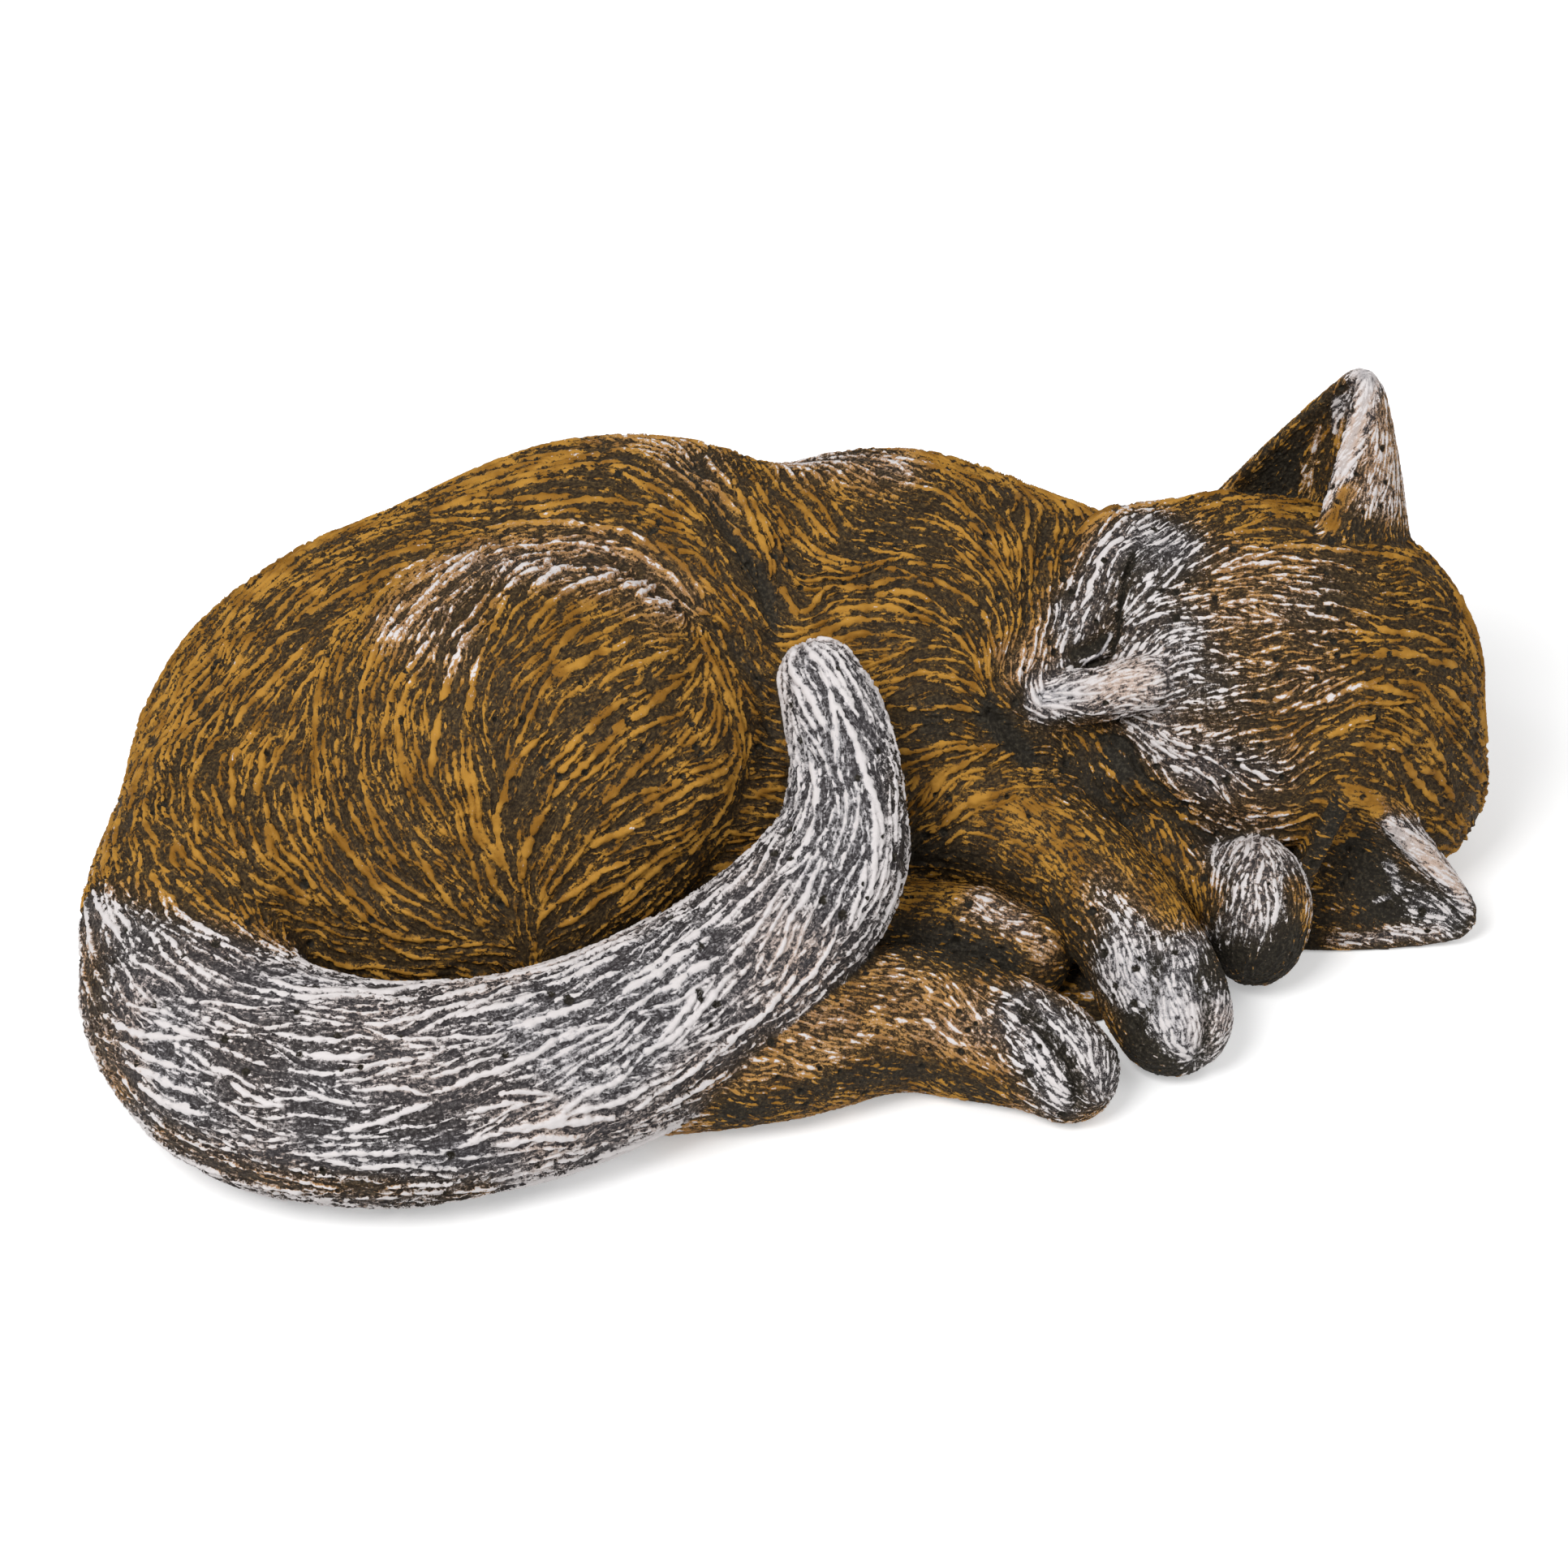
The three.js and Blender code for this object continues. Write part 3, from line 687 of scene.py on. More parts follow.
def fur_heading(points, normals, form, random):
    """Unit direction along the surface in which the fur lies."""
    heading = np.zeros_like(points)
    for name, lines in (("haunch", HAUNCH_FLOW), ("torso", TORSO_FLOW), ("head", HEAD_FLOW)):
        rows = form == NAMES.index(name)
        heading[rows] = follow_lines(points[rows], lines)
    for name, stations in (("tail", TAIL), ("hind_foot", HIND_FOOT), ("foreleg", FORELEG),
                           ("hind_foot_far", HIND_FOOT_FAR)):
        rows = form == NAMES.index(name)
        heading[rows] = along_path(points[rows], smooth_path(stations))[1]
    for name, place in (("ear_upper", UPPER_EAR), ("ear_lower", LOWER_EAR)):
        rows = form == NAMES.index(name)
        feet = (np.array(place["near"]) + np.array(place["far"])) / 2
        heading[rows] = np.array(place["tip"]) - feet
    rows = form == NAMES.index("forepaw_far")
    heading[rows] = PAW_MEETING_POINT - points[rows]
    across = heading - (heading * normals).sum(-1)[:, None] * normals
    across /= np.maximum(length(across), TINY)[:, None]
    turn = sum(FUR_SWAY * ripple(points, wave, random) for wave in SWAY_WAVES)
    turn += TAIL_LIFT * (form == NAMES.index("tail")) * np.clip(normals[:, 2], 0, 1)
    turn -= FOOT_LEAN * (form == NAMES.index("hind_foot"))
    across += turn[:, None] * np.cross(normals, across)
    return across / np.maximum(length(across), TINY)[:, None]


# Strands: each is a raised line cut into the cast, and together they make the fur

VOXEL = 0.9
ROOM_CELL = 0.6
BALLS_PER_MM = 5
STEP = 0.5
FIELD_MARGIN = 4.0
STRAIGHTEST = 0.6
FURTHEST_OFF = 1.2


class SurfaceIndex:
    """Finds the vertex nearest to a point on the surface."""

    def __init__(self, points):
        self.low = points.min(0) - FIELD_MARGIN
        self.counts = np.ceil((points.max(0) + FIELD_MARGIN - self.low) / VOXEL).astype(int)
        self.vertex = np.full(self.counts, -1, np.int32)
        cells = self.cells(points)
        number = np.arange(len(points))
        shifts = sorted(np.ndindex(3, 3, 3), key=lambda s: -sum((i - 1) ** 2 for i in s))
        for shift in shifts:
            self.vertex[tuple((cells + np.array(shift) - 1).T)] = number

    def cells(self, points):
        return ((points - self.low) / VOXEL).astype(int)

    def find(self, points):
        cells = np.clip(self.cells(points), 0, self.counts - 1)
        return self.vertex[tuple(cells.T)]


def trace(index, points, normals, heading, seeds, lean, steps):
    """Follows the fur both ways from the seeds, each with its own lean across it.

    Gives rows of places and of vertices, -1 where a strand ended.
    """
    lean = lean[:, None]

    def leaning_heading(vertex):
        across = np.cross(normals[vertex], heading[vertex])
        return heading[vertex] * np.cos(lean) + across * np.sin(lean)

    places = np.zeros((len(seeds), 2 * steps + 1, 3), np.float32)
    vertices = np.full((len(seeds), 2 * steps + 1), -1, np.int32)
    places[:, steps] = points[seeds]
    vertices[:, steps] = seeds
    for sign in (1, -1):
        place = points[seeds].copy()
        vertex = seeds.copy()
        alive = np.ones(len(seeds), bool)
        direction = sign * leaning_heading(seeds)
        for i in range(1, steps + 1):
            moved = place + STEP * direction
            found = index.find(moved)
            alive &= found >= 0
            vertex = np.where(alive, found, vertex)
            gap = ((moved - points[vertex]) * normals[vertex]).sum(-1)
            moved = moved - gap[:, None] * normals[vertex]
            place = np.where(alive[:, None], moved, place)
            turned = sign * leaning_heading(vertex)
            alive &= (turned * direction).sum(-1) > STRAIGHTEST
            alive &= np.abs(gap) < FURTHEST_OFF
            direction = turned
            row = steps + sign * i
            places[:, row] = place
            vertices[alive, row] = vertex[alive]
    return places, vertices


class Room:
    """Marks where strands already lie."""

    def __init__(self, low, high):
        self.low = low - FIELD_MARGIN
        self.counts = np.ceil((high + FIELD_MARGIN - self.low) / ROOM_CELL).astype(int)
        self.taken = np.zeros(int(np.prod(self.counts)), bool)
        self.strides = np.array([self.counts[1] * self.counts[2], self.counts[2], 1])
        self.balls = {}

    def spots(self, places):
        return ((places - self.low) / ROOM_CELL).astype(int) @ self.strides

    def ball(self, radius):
        """Steps in the marks' row to every cell within a radius, which is rounded."""
        key = round(radius * BALLS_PER_MM)
        if key not in self.balls:
            reach = int(radius / ROOM_CELL) + 1
            offsets = np.array(list(np.ndindex(*([2 * reach + 1] * 3)))) - reach
            offsets = offsets[length(offsets) * ROOM_CELL <= key / BALLS_PER_MM]
            self.balls[key] = offsets @ self.strides
        return self.balls[key]

    def mark(self, spots, radius):
        self.taken[(spots[:, None] + self.ball(radius)).ravel()] = True


# Room that a strand keeps, as a share of the gap: for older layers, for seeds and for other ends
OLDER_ROOM = 0.4
SEED_ROOM = 0.75
END_ROOM = 0.22
STRAND_STEPS = 50
SEED_BATCH = 2000
LEAST_HALF = 0.1
LEAST_LENGTH = 1.2
LEAST_STEPS = 4
SHORTEST = 0.3
BOLD_POWER = 1.3


class Layer:
    """One size of strand. Shares are of the fur's gap, length and height where it grows."""

    def __init__(self, gap, reach, thin, thick, low, high, lean, seeds):
        self.gap, self.reach = gap, reach
        self.thin, self.thick = thin, thick
        self.low, self.high = low, high
        self.lean, self.seeds = lean, seeds


LAYERS = [
    Layer(gap=1.0, reach=1.0, thin=0.05, thick=0.26, low=0.8, high=1.0, lean=0.2, seeds=30000),
    Layer(gap=0.5, reach=0.4, thin=0.03, thick=0.1, low=0.4, high=0.8, lean=0.3, seeds=70000),
    Layer(gap=0.28, reach=0.2, thin=0.01, thick=0.05, low=0.3, high=0.65, lean=0.5, seeds=90000),
]


def free_run(blocked, seed, steps):
    """Where a strand can start and end, given the places that are blocked on its way."""
    low, high = seed - steps, seed + steps + 1
    ahead = np.nonzero(blocked[seed:high])[0]
    behind = np.nonzero(blocked[low:seed + 1][::-1])[0]
    if len(ahead):
        high = seed + ahead[0]
    if len(behind):
        low = seed - behind[0] + 1
    return low, high


def lay_strands(points, normals, heading, gap, reach, eligible, random):
    """Strands of each layer, side by side where older ones leave room.

    Each is its places, its vertices, its half width and its height.
    """
    index = SurfaceIndex(points)
    near_room = Room(points.min(0), points.max(0))
    strands = []
    for layer in LAYERS:
        most = min(int(reach.max() * layer.reach / STEP / 2) + 2, STRAND_STEPS)
        seed_room = Room(points.min(0), points.max(0))
        for places, vertices, half, _ in strands:
            older = half + gap[vertices[0]] * layer.gap * OLDER_ROOM
            seed_room.mark(seed_room.spots(places), older)
        wanted = eligible / gap ** 2
        seeds = random.choice(len(points), layer.seeds, p=wanted / wanted.sum())
        size = random.uniform(SHORTEST, 1.0, layer.seeds) * layer.reach
        lean = random.uniform(-layer.lean, layer.lean, layer.seeds)
        bold = random.uniform(0, 1, layer.seeds) ** BOLD_POWER
        half = layer.thin + (layer.thick - layer.thin) * bold
        lift = random.uniform(layer.low, layer.high, layer.seeds)
        for start in range(0, layer.seeds, SEED_BATCH):
            number = np.arange(start, min(start + SEED_BATCH, layer.seeds))
            number = number[~seed_room.taken[seed_room.spots(points[seeds[number]])]]
            places, vertices = trace(index, points, normals, heading, seeds[number], lean[number],
                                     most)
            spots = near_room.spots(places.reshape(-1, 3)).reshape(vertices.shape)
            for row, i in enumerate(number):
                if seed_room.taken[spots[row, most]]:
                    continue
                wide = gap[seeds[i]] * layer.gap
                steps = min(int(reach[seeds[i]] * size[i] / STEP / 2) + 2, most)
                blocked = near_room.taken[spots[row]] | ~eligible[vertices[row]]
                low, high = free_run(blocked | (vertices[row] < 0), most, steps)
                if high - low < max(LEAST_STEPS, wide * LEAST_LENGTH / STEP):
                    continue
                run = slice(low, high)
                strands.append((places[row, run].astype(float), vertices[row, run],
                                half[i] * gap[seeds[i]] + LEAST_HALF, lift[i]))
                near_room.mark(spots[row, run], wide * END_ROOM)
                seed_room.mark(spots[row, run], wide * SEED_ROOM)
    return strands


def near_pairs(samples, points, reach):
    """Pairs of a sample and a vertex that may lie within reach, in chunks."""
    low = points.min(0) - reach
    counts = np.ceil((points.max(0) + reach - low) / reach).astype(int) + 1
    strides = np.array([counts[1] * counts[2], counts[2], 1])
    cell = ((points - low) / reach).astype(int) @ strides
    order = np.argsort(cell, kind="stable")
    sorted_cells = cell[order]
    home = ((samples - low) / reach).astype(int)
    for shift in np.ndindex(3, 3, 3):
        key = (home + np.array(shift) - 1) @ strides
        first = np.searchsorted(sorted_cells, key, "left")
        count = np.searchsorted(sorted_cells, key, "right") - first
        sample = np.repeat(np.arange(len(samples)), count)
        start = np.repeat(first - np.concatenate([[0], np.cumsum(count)[:-1]]), count)
        yield sample, order[start + np.arange(len(sample))]


STAND_REACH = 1.8
LAYER_DEPTH = 1.5
STRAND_APART = 3.7
BARE_HEIGHT = 0.4
ROOT_SHARE = 0.75

# A strand's width at its root and tip: how fast it grows, and what it starts from
ROOT_TAPER = (5, 0.15)
TIP_TAPER = (3, 0.1)
TAPER_POWER = 0.6

# How its width swells along it: how much, and how fast per mm
SWELLS = ((0.25, 0.9), (0.2, 2.1))


def stand_of(points, normals, strands, random):
    """How far inside a strand each vertex lies, below zero in the grooves, and how high it is.

    Also where it lies on the nearest strand: how far along, how far across, and which strand.
    """
    lengths = np.array([len(vertices) for _, vertices, _, _ in strands])
    places = np.vstack([places for places, _, _, _ in strands])
    ahead = np.vstack([np.gradient(places, axis=0) for places, _, _, _ in strands])
    ahead /= np.maximum(length(ahead), TINY)[:, None]
    strand = np.repeat(np.arange(len(strands)), lengths)
    share = np.concatenate([(np.arange(n) + 0.5) / n for n in lengths])
    taper = np.minimum(1, share * ROOT_TAPER[0] + ROOT_TAPER[1])
    taper *= np.minimum(1, (1 - share) * TIP_TAPER[0] + TIP_TAPER[1])
    lift = np.array([lift for _, _, _, lift in strands])[strand]
    lift *= ROOT_SHARE + (1 - ROOT_SHARE) * share
    run = share * lengths[strand] * STEP
    start = random.uniform(0, WHOLE_TURN, (2, len(strands)))[:, strand]
    wave = sum(size * np.sin(phase + run * pitch) for (size, pitch), phase in zip(SWELLS, start))
    half = np.array([half for _, _, half, _ in strands])[strand] * taper ** TAPER_POWER * (1 + wave)
    stand = np.full(len(points), -STAND_REACH)
    height = np.full(len(points), BARE_HEIGHT)
    lie = points.copy()
    for sample, vertex in near_pairs(places, points, STAND_REACH):
        offset = points[vertex] - places[sample]
        above = (offset * normals[vertex]).sum(-1)
        flat = np.sqrt(np.maximum((offset * offset).sum(-1) - above ** 2, 0))
        inside = half[sample] - flat
        close = (inside > stand[vertex]) & (np.abs(above) < LAYER_DEPTH)
        order = np.nonzero(close)[0][np.argsort(inside[close], kind="stable")]
        sample, vertex, offset = sample[order], vertex[order], offset[order]
        stand[vertex] = inside[order]
        height[vertex] = lift[sample]
        forward = (offset * ahead[sample]).sum(-1)
        across = (offset * np.cross(normals[vertex], ahead[sample])).sum(-1)
        lie[vertex] = np.stack([run[sample] + forward, across, strand[sample] * STRAND_APART], -1)
    return stand, height, lie


PITS = 700
PIT_SIZES = (0.6, 1.1)
PIT_SHRINK = 0.6


def pit_depths(points, eligible, random):
    """Pinholes that air left in the cast, from 0 to 1."""
    middles = points[random.choice(np.nonzero(eligible)[0], PITS)]
    sizes = random.uniform(*PIT_SIZES, PITS) * random.uniform(PIT_SHRINK, 1, PITS)
    depth = np.zeros(len(points))
    for sample, vertex in near_pairs(middles, points, 2 * PIT_SIZES[1]):
        gap = length(points[vertex] - middles[sample]) / sizes[sample]
        np.maximum.at(depth, vertex, np.exp(-gap ** 4))
    return depth


# Size of the fur on each form: gap between strands, length of a strand, height, all in mm

FUR = {
    "torso": (2.9, 34, 1.3), "haunch": (3.1, 46, 1.4), "head": (3.1, 28, 1.5),
    "foreleg": (1.5, 5, 0.4), "tail": (3.1, 42, 1.3), "hind_foot": (1.8, 9, 0.6),
    "hind_foot_far": (1.7, 5, 0.4), "forepaw_far": (1.9, 16, 0.65),
    "ear_upper": (1.4, 12, 0.4), "ear_lower": (1.4, 12, 0.4),
}
NOSE_ROOT = np.array([86.0, 20.0, 71.0])
FACE_REACH = 55.0
FACE_FUR = (1.15, 9, 0.3)
GAP_CHANGE = 0.18
GAP_WAVE = 18


def fur_sizes(points, form, random):
    """Gap, strand length and height at each vertex."""
    sizes = np.array([FUR[name] for name in NAMES])[form]
    away = np.clip(length(points - NOSE_ROOT) / FACE_REACH, 0, 1)[:, None]
    rows = (form == NAMES.index("head")) | (form == NAMES.index("torso"))
    sizes[rows] = np.array(FACE_FUR) + (sizes[rows] - np.array(FACE_FUR)) * away[rows]
    sizes[:, 0] *= 1 + GAP_CHANGE * ripple(points, GAP_WAVE, random)
    return sizes.T


# Details are lines that the camera sees on the surface, so their depth counts little

DEPTH_COUNTS = 0.25
DOT_LENGTH = 0.01


def seen(points):
    """Places as the camera sees them, in the plane of its target, with their reduced depth."""
    offset = np.array(points, float)[:, :3] - CAMERA_TARGET
    depth = offset @ VIEW_BACK
    scale = CAMERA_DISTANCE / (CAMERA_DISTANCE - depth)
    return np.stack([offset @ VIEW_ACROSS * scale, offset @ VIEW_UP * scale, depth * DEPTH_COUNTS], -1)


def nearness(places, line, width):
    """1 on a line and 0 further from it than its width, for places that seen() gave."""
    path = seen(line)
    path = smooth_path(path) if len(line) > 1 else np.vstack([path, path + DOT_LENGTH])
    gap = along_path(places, path, 3 * width)[0]
    return np.exp(-(gap / width) ** 2)


# Lines cut into the surface, with depth and half width; a raised line has a depth below zero
EYE_SLIT = [(70.5, 29.8, 66.5), (74.2, 29.8, 69), (75.9, 30.5, 73.2), (76.5, 31.3, 75.8),
            (76.8, 33.6, 79.8), (78.1, 37.2, 85), (79, 40, 87.6), (81, 44, 90.5)]
LID_EDGE = [(69.7, 31.2, 67.4), (72.9, 31, 69.7), (74.6, 31.4, 73.2), (75.2, 31.7, 75)]
LOWER_EYE = [(72.9, 20.3, 52.1), (75.8, 19.2, 53.1), (78.9, 17.1, 52.5), (80.6, 15.2, 50.5),
             (81.6, 13.7, 48.1), (84.4, 12, 45.1), (88.4, 10.8, 42.6), (93.8, 9.9, 37.3)]
MOUTH = [(46, 12.8, 64.7), (49.7, 12.4, 60.1), (54.1, 12.3, 54.1)]
NECK_FOLD = [(60.5, 59.5, 87.4), (57.6, 45, 85.3), (55.4, 32.4, 79.7), (49.6, 20.9, 73.4),
             (45.6, 14.7, 68.2)]
FLANK_FOLD = [(-27, 54, 109), (-22.6, 46, 107), (-18, 38, 104), (-13.6, 30, 100), (-9.6, 25, 96),
              (-7.3, 20.5, 92), (-6.3, 15, 87)]
THIGH_CREASE = [(-44, 22.6, 103), (-32.5, 18, 99), (-22.8, 13.5, 93), (-16, 10, 87), (-11, 6.7, 81),
                (-8.3, 3, 75), (-7.3, -0.6, 70), (-8.3, -5.3, 64)]
TOE_GROOVE = [(53, -53, 27), (58, -59, 24), (63, -66, 21), (65, -70, 12)]
PAW_GROOVE = [(84, -39, 29), (83, -46, 24), (79, -48, 18)]
PAW_SIDE_GROOVE = [(95, -42, 26), (97, -46, 23), (97, -51, 16), (95, -51, 9)]
GROOVES = [
    (EYE_SLIT, 1.5, 0.6), (EYE_SLIT, 0.5, 2.0), (LID_EDGE, -0.6, 0.6), (LOWER_EYE, 1.4, 1.1),
    (MOUTH, 1.2, 1.4), (NECK_FOLD, 1.2, 1.8), (FLANK_FOLD, 1.8, 3.0), (THIGH_CREASE, 1.4, 2.5),
    (TOE_GROOVE, 2.6, 1.6), (PAW_GROOVE, 1.8, 2.2), (PAW_SIDE_GROOVE, 1.8, 2.0),
]

# Mounds of the far hind foot, with half width and height
MOUNDS = [
    ((39.7, -16.4, 30.3), 6, 1.6), ((46.6, -12.7, 29.8), 6, 1.2), ((59.2, -21.9, 24.6), 6.5, 1.8),
]

# Places of the face that are painted on their own, or bare of fur within a half width
LID = [(67, 33, 68), (71, 33, 69.5), (74, 33, 73)]
MUZZLE_END = [(52, 26, 62), (52, 23, 58)]
CHIN = [(45, 12, 65), (50, 12, 58), (55, 11, 52)]
UNDER_EYE = [(76, 17, 50), (79, 14, 47)]
NO_FUR = [(LID, 0.9), (EYE_SLIT, 0.45), (LOWER_EYE, 0.9), (UNDER_EYE, 1.8), (MOUTH, 1.2), (CHIN, 2.0)]


def carve_details(points):
    """Height of the grooves and mounds at each vertex, and where they leave no fur."""
    places = seen(points)
    height = np.zeros(len(points))
    bare = np.zeros(len(points))
    for line, depth, width in GROOVES:
        height -= depth * nearness(places, line, width)
    for line, width in NO_FUR:
        bare = np.maximum(bare, nearness(places, line, width))
    for centre, width, rise in MOUNDS:
        height += rise * np.exp(-((points - np.array(centre)) ** 2).sum(-1) / width ** 2)
    return height, bare


# Paint: how much ochre and white is brushed on each form, from 0, none, to 1, nearly all of it

PAINT = {
    "torso": (0.79, 0.0), "haunch": (0.78, 0.0), "head": (0.79, 0.0), "foreleg": (0.57, 0.0),
    "tail": (0.35, 0.93), "hind_foot": (0.85, 0.4), "hind_foot_far": (0.55, 0.2),
    "forepaw_far": (0.3, 0.6), "ear_upper": (0.6, 0.4), "ear_lower": (0.55, 0.3),
}

# Brush strokes over that: a line, its half width, and the ochre and white there, which go above
# 1 where the paint covers even the grooves
STROKES = [
    # top of the thigh, rump and back
    ([(-88, 7, 104), (-75, 14, 107), (-59, 17, 107), (-44, 19, 103), (-32, 13, 98)], 10, 0.9, 0.66),
    ([(-95, 1, 99), (-81, -11, 101)], 8, 0.85, 0.55),
    ([(-49, 68, 107), (-33, 66, 107), (-22, 59, 107)], 9, 0.78, 0.3),
    ([(-31, 55, 109), (-23, 47, 108), (-16, 38, 104)], 5, 0.85, 0.4),
    ([(-1, 80, 95), (11, 76, 97), (23, 70, 99)], 8, 0.7, 0.62),
    # shoulder
    ([(14, 26, 98), (27, 26, 96), (41, 24, 90)], 9, 0.62, 0.0),
    ([(31, -6, 73), (35, -15, 66)], 9, 0.1, 0.0),
    # forehead and cheek
    ([(97, 30, 84), (112, 32, 87), (124, 32, 87)], 14, 0.66, 0.5),
    ([(100, 16, 71), (114, 16, 73), (122, 16, 74)], 13, 0.68, 0.5),
    ([(97, 9, 56), (108, 8, 52), (112, 8, 50)], 11, 0.68, 0.62),
    ([(80, 27, 74), (81, 32, 80), (84, 37, 86), (91, 44, 91)], 9, 0.5, 0.72),
    ([(85, 16, 71), (97, 18, 72)], 10, 0.6, 0.64),
    ([(85, 16, 57), (89, 12, 51), (97, 9, 46)], 9, 0.55, 0.84),
    # muzzle, eyelid, nose and lower face
    ([(64, 38, 68), (68, 43.5, 75.5), (72, 49.5, 80), (76, 55, 84)], 5.5, 0.4, 0.75),
    ([(65, 33, 72), (69, 41, 79), (75, 44, 88), (83, 51, 92)], 8, 0.4, 0.75),
    ([(54.5, 31, 62), (52, 35, 64.5), (57, 36, 66)], 7, 1.3, 0.62),
    ([(57, 11, 50), (68, 13, 44), (78, 11, 37)], 9, 0.32, 0.25),
    ([(82, 11, 36), (90, 4, 32), (97, 0, 29)], 9, 0.55, 0.0),
    ([(81, 17, 72), (87, 20, 77), (91, 24, 80)], 7, 0.45, 0.74),
    ([(59, 21, 63.5), (68.5, 18.5, 67), (81, 17, 71.5)], 6.6, 0.38, 1.2),
    (MUZZLE_END, 2.5, 0.1, 0.0),
    (LID, 1.8, 0.3, 0.45),
    (CHIN, 3.5, 0.05, 0.0),
    (UNDER_EYE, 2.6, 0.1, 0.0),
    (LID_EDGE, 0.5, 0.0, 1.6),
    # root and outer side of the tail
    ([(-170, -16, 45), (-153, -35, 54), (-139, -41, 53), (-123, -38, 42)], 9, 0.75, 0.1),
    ([(-148, -90, 20), (-124, -104, 20), (-100, -107, 18), (-73, -101, 13)], 4, 0.7, 0.6),
    ([(-168, -45, 41), (-165, -62, 33), (-159, -77, 23)], 6, 0.8, 0.66),
    # foreleg and its paw
    ([(30, 2, 52), (48, 3, 46), (63, -5, 40), (75, -19, 36), (81, -29, 33)], 9, 0.95, 0.0),
    ([(28, -2, 32), (46, -9, 29), (59, -17, 26), (69, -29, 18)], 7, 0.2, 0.0),
    ([(72, -22, 36), (80, -30, 33)], 7, 0.7, 0.6),
    ([(77, -37, 27), (87, -48, 24), (93, -53, 15)], 10, 0.3, 1.1),
    ([(93, -36, 28), (99, -46, 21)], 8, 0.3, 1.08),
    ([(76, -59, 18), (86, -51, 5)], 5, 0.1, 0.1),
    # hind foot
    ([(-17, -74, 21), (12, -61, 28), (39, -57, 24)], 12, 0.92, 0.48),
    ([(44, -55, 26), (50, -55, 26)], 8, 0.75, 0.65),
    ([(52, -53, 27), (65, -61, 23), (71, -67, 16)], 6, 0.4, 0.95),
    ([(55, -63, 20), (61, -69, 14)], 6, 0.4, 0.9),
    ([(-17, -74, 12), (22, -61, 14), (45, -62, 7)], 4, 0.35, 0.05),
    # far hind foot
    ([(24, -15, 31), (36, -14, 31)], 5, 0.9, 0.0),
    ([(44, -17, 30), (52, -20, 27)], 6, 1.0, 0.78),
    ([(58, -25, 22)], 5, 0.95, 0.72),
    ([(24, -23, 24), (37, -33, 28), (48, -27, 18)], 6, 0.1, 0.0),
    # far forepaw
    ([(103, -2, 32), (113, -6, 34), (108, -20, 28)], 9, 0.5, 0.9),
    ([(120, -10, 29), (123, -13, 21)], 3.5, 0.7, 0.3),
    ([(101, -30, 21), (114, -12, 4), (121, -14, 13)], 6, 0.05, 0.1),
    ([(90, -15, 32), (95, -5, 21)], 6, 0.8, 0.1),
]


# Strokes of one form alone; an ear has rims, a dark cup with a few tufts in it, a back and a foot
OWN_STROKES = {
    "tail": [
        ([(-165, -75, 4), (-140, -98, 4), (-110, -107, 4), (-75, -104, 4), (-45, -92, 4)], 4, 0.5, 0.2),
        ([(-55, -89, 38), (-26, -71, 41), (-6, -55, 48), (8, -37, 58), (10, -19, 69), (5, -3, 86)],
         16, 0.25, 1.02),
    ],
    "ear_upper": [
        ([(110, 84, 86), (122, 83, 104), (132, 80, 117)], 3.6, 0.95, 0.3),
        ([(119, 79, 86), (129, 83, 105)], 8, 0.25, 0.05),
        ([(128, 81, 102), (126, 76, 86)], 1.4, 0.8, 0.7),
        ([(125, 80, 92), (125, 75, 81)], 1.1, 0.8, 0.7),
        ([(132, 81, 111), (132, 79, 103)], 1.0, 0.3, 1.2),
        ([(134, 78, 111)], 3, 0.1, 0.8),
        ([(140, 65, 115), (144, 53, 101)], 8, 1.0, 0.8),
        ([(134, 45, 96), (148, 46, 93)], 4, 0.25, 0.0),
        ([(139, 74, 120), (136, 67, 113), (133, 61, 108), (131, 56, 102), (128, 53, 99)],
         2.3, 0.3, 1.5),
        ([(138, 77, 121)], 4, 0.3, 1.35),
        ([(132, 53, 103), (129, 49, 96)], 2.2, 1.4, 0.0),
    ],
    "ear_lower": [
        ([(130, 7, 43), (127, 3, 23), (125, 1, -1)], 5, 0.3, 0.0),
        ([(137, 10, 28), (144, 6, 10)], 10, 0.15, 0.0),
        ([(150, 15, 37), (159, 10, 24)], 8, 0.8, 0.9),
        ([(144, 10, 41)], 6, 0.9, 0.2),
        ([(140, 7, 40), (146, 7, 33), (154, 6, 25), (161, 5, 18), (163, 4, 13)], 2.4, 0.5, 1.4),
        ([(134, 7, 46), (140, 7, 40)], 3, 1.4, 0.1),
        ([(133, 6, 19), (134, 6, 15)], 1.3, 0.9, 0.3),
        ([(139, 8, 19), (140, 8, 15)], 1.2, 0.3, 1.0),
        ([(144, 8, 22), (147, 7, 16)], 1.9, 0.2, 1.2),
        ([(142, 8, 11), (145, 8, 12)], 1.2, 0.4, 1.1),
        ([(152, 6, 12), (160, 4, 9)], 5, 0.0, 0.7),
        ([(131, 5, 1), (140, 4, 2), (149, 4, 4), (157, 3, 5)], 2, 0.8, 0.75),
    ],
}


# Patches where more or less paint was left: how much, and how wide, in mm
OCHRE_PATCHES = (0.12, 30)
WHITE_PATCHES = (0.08, 22)
LEAST_WHITE = 0.05


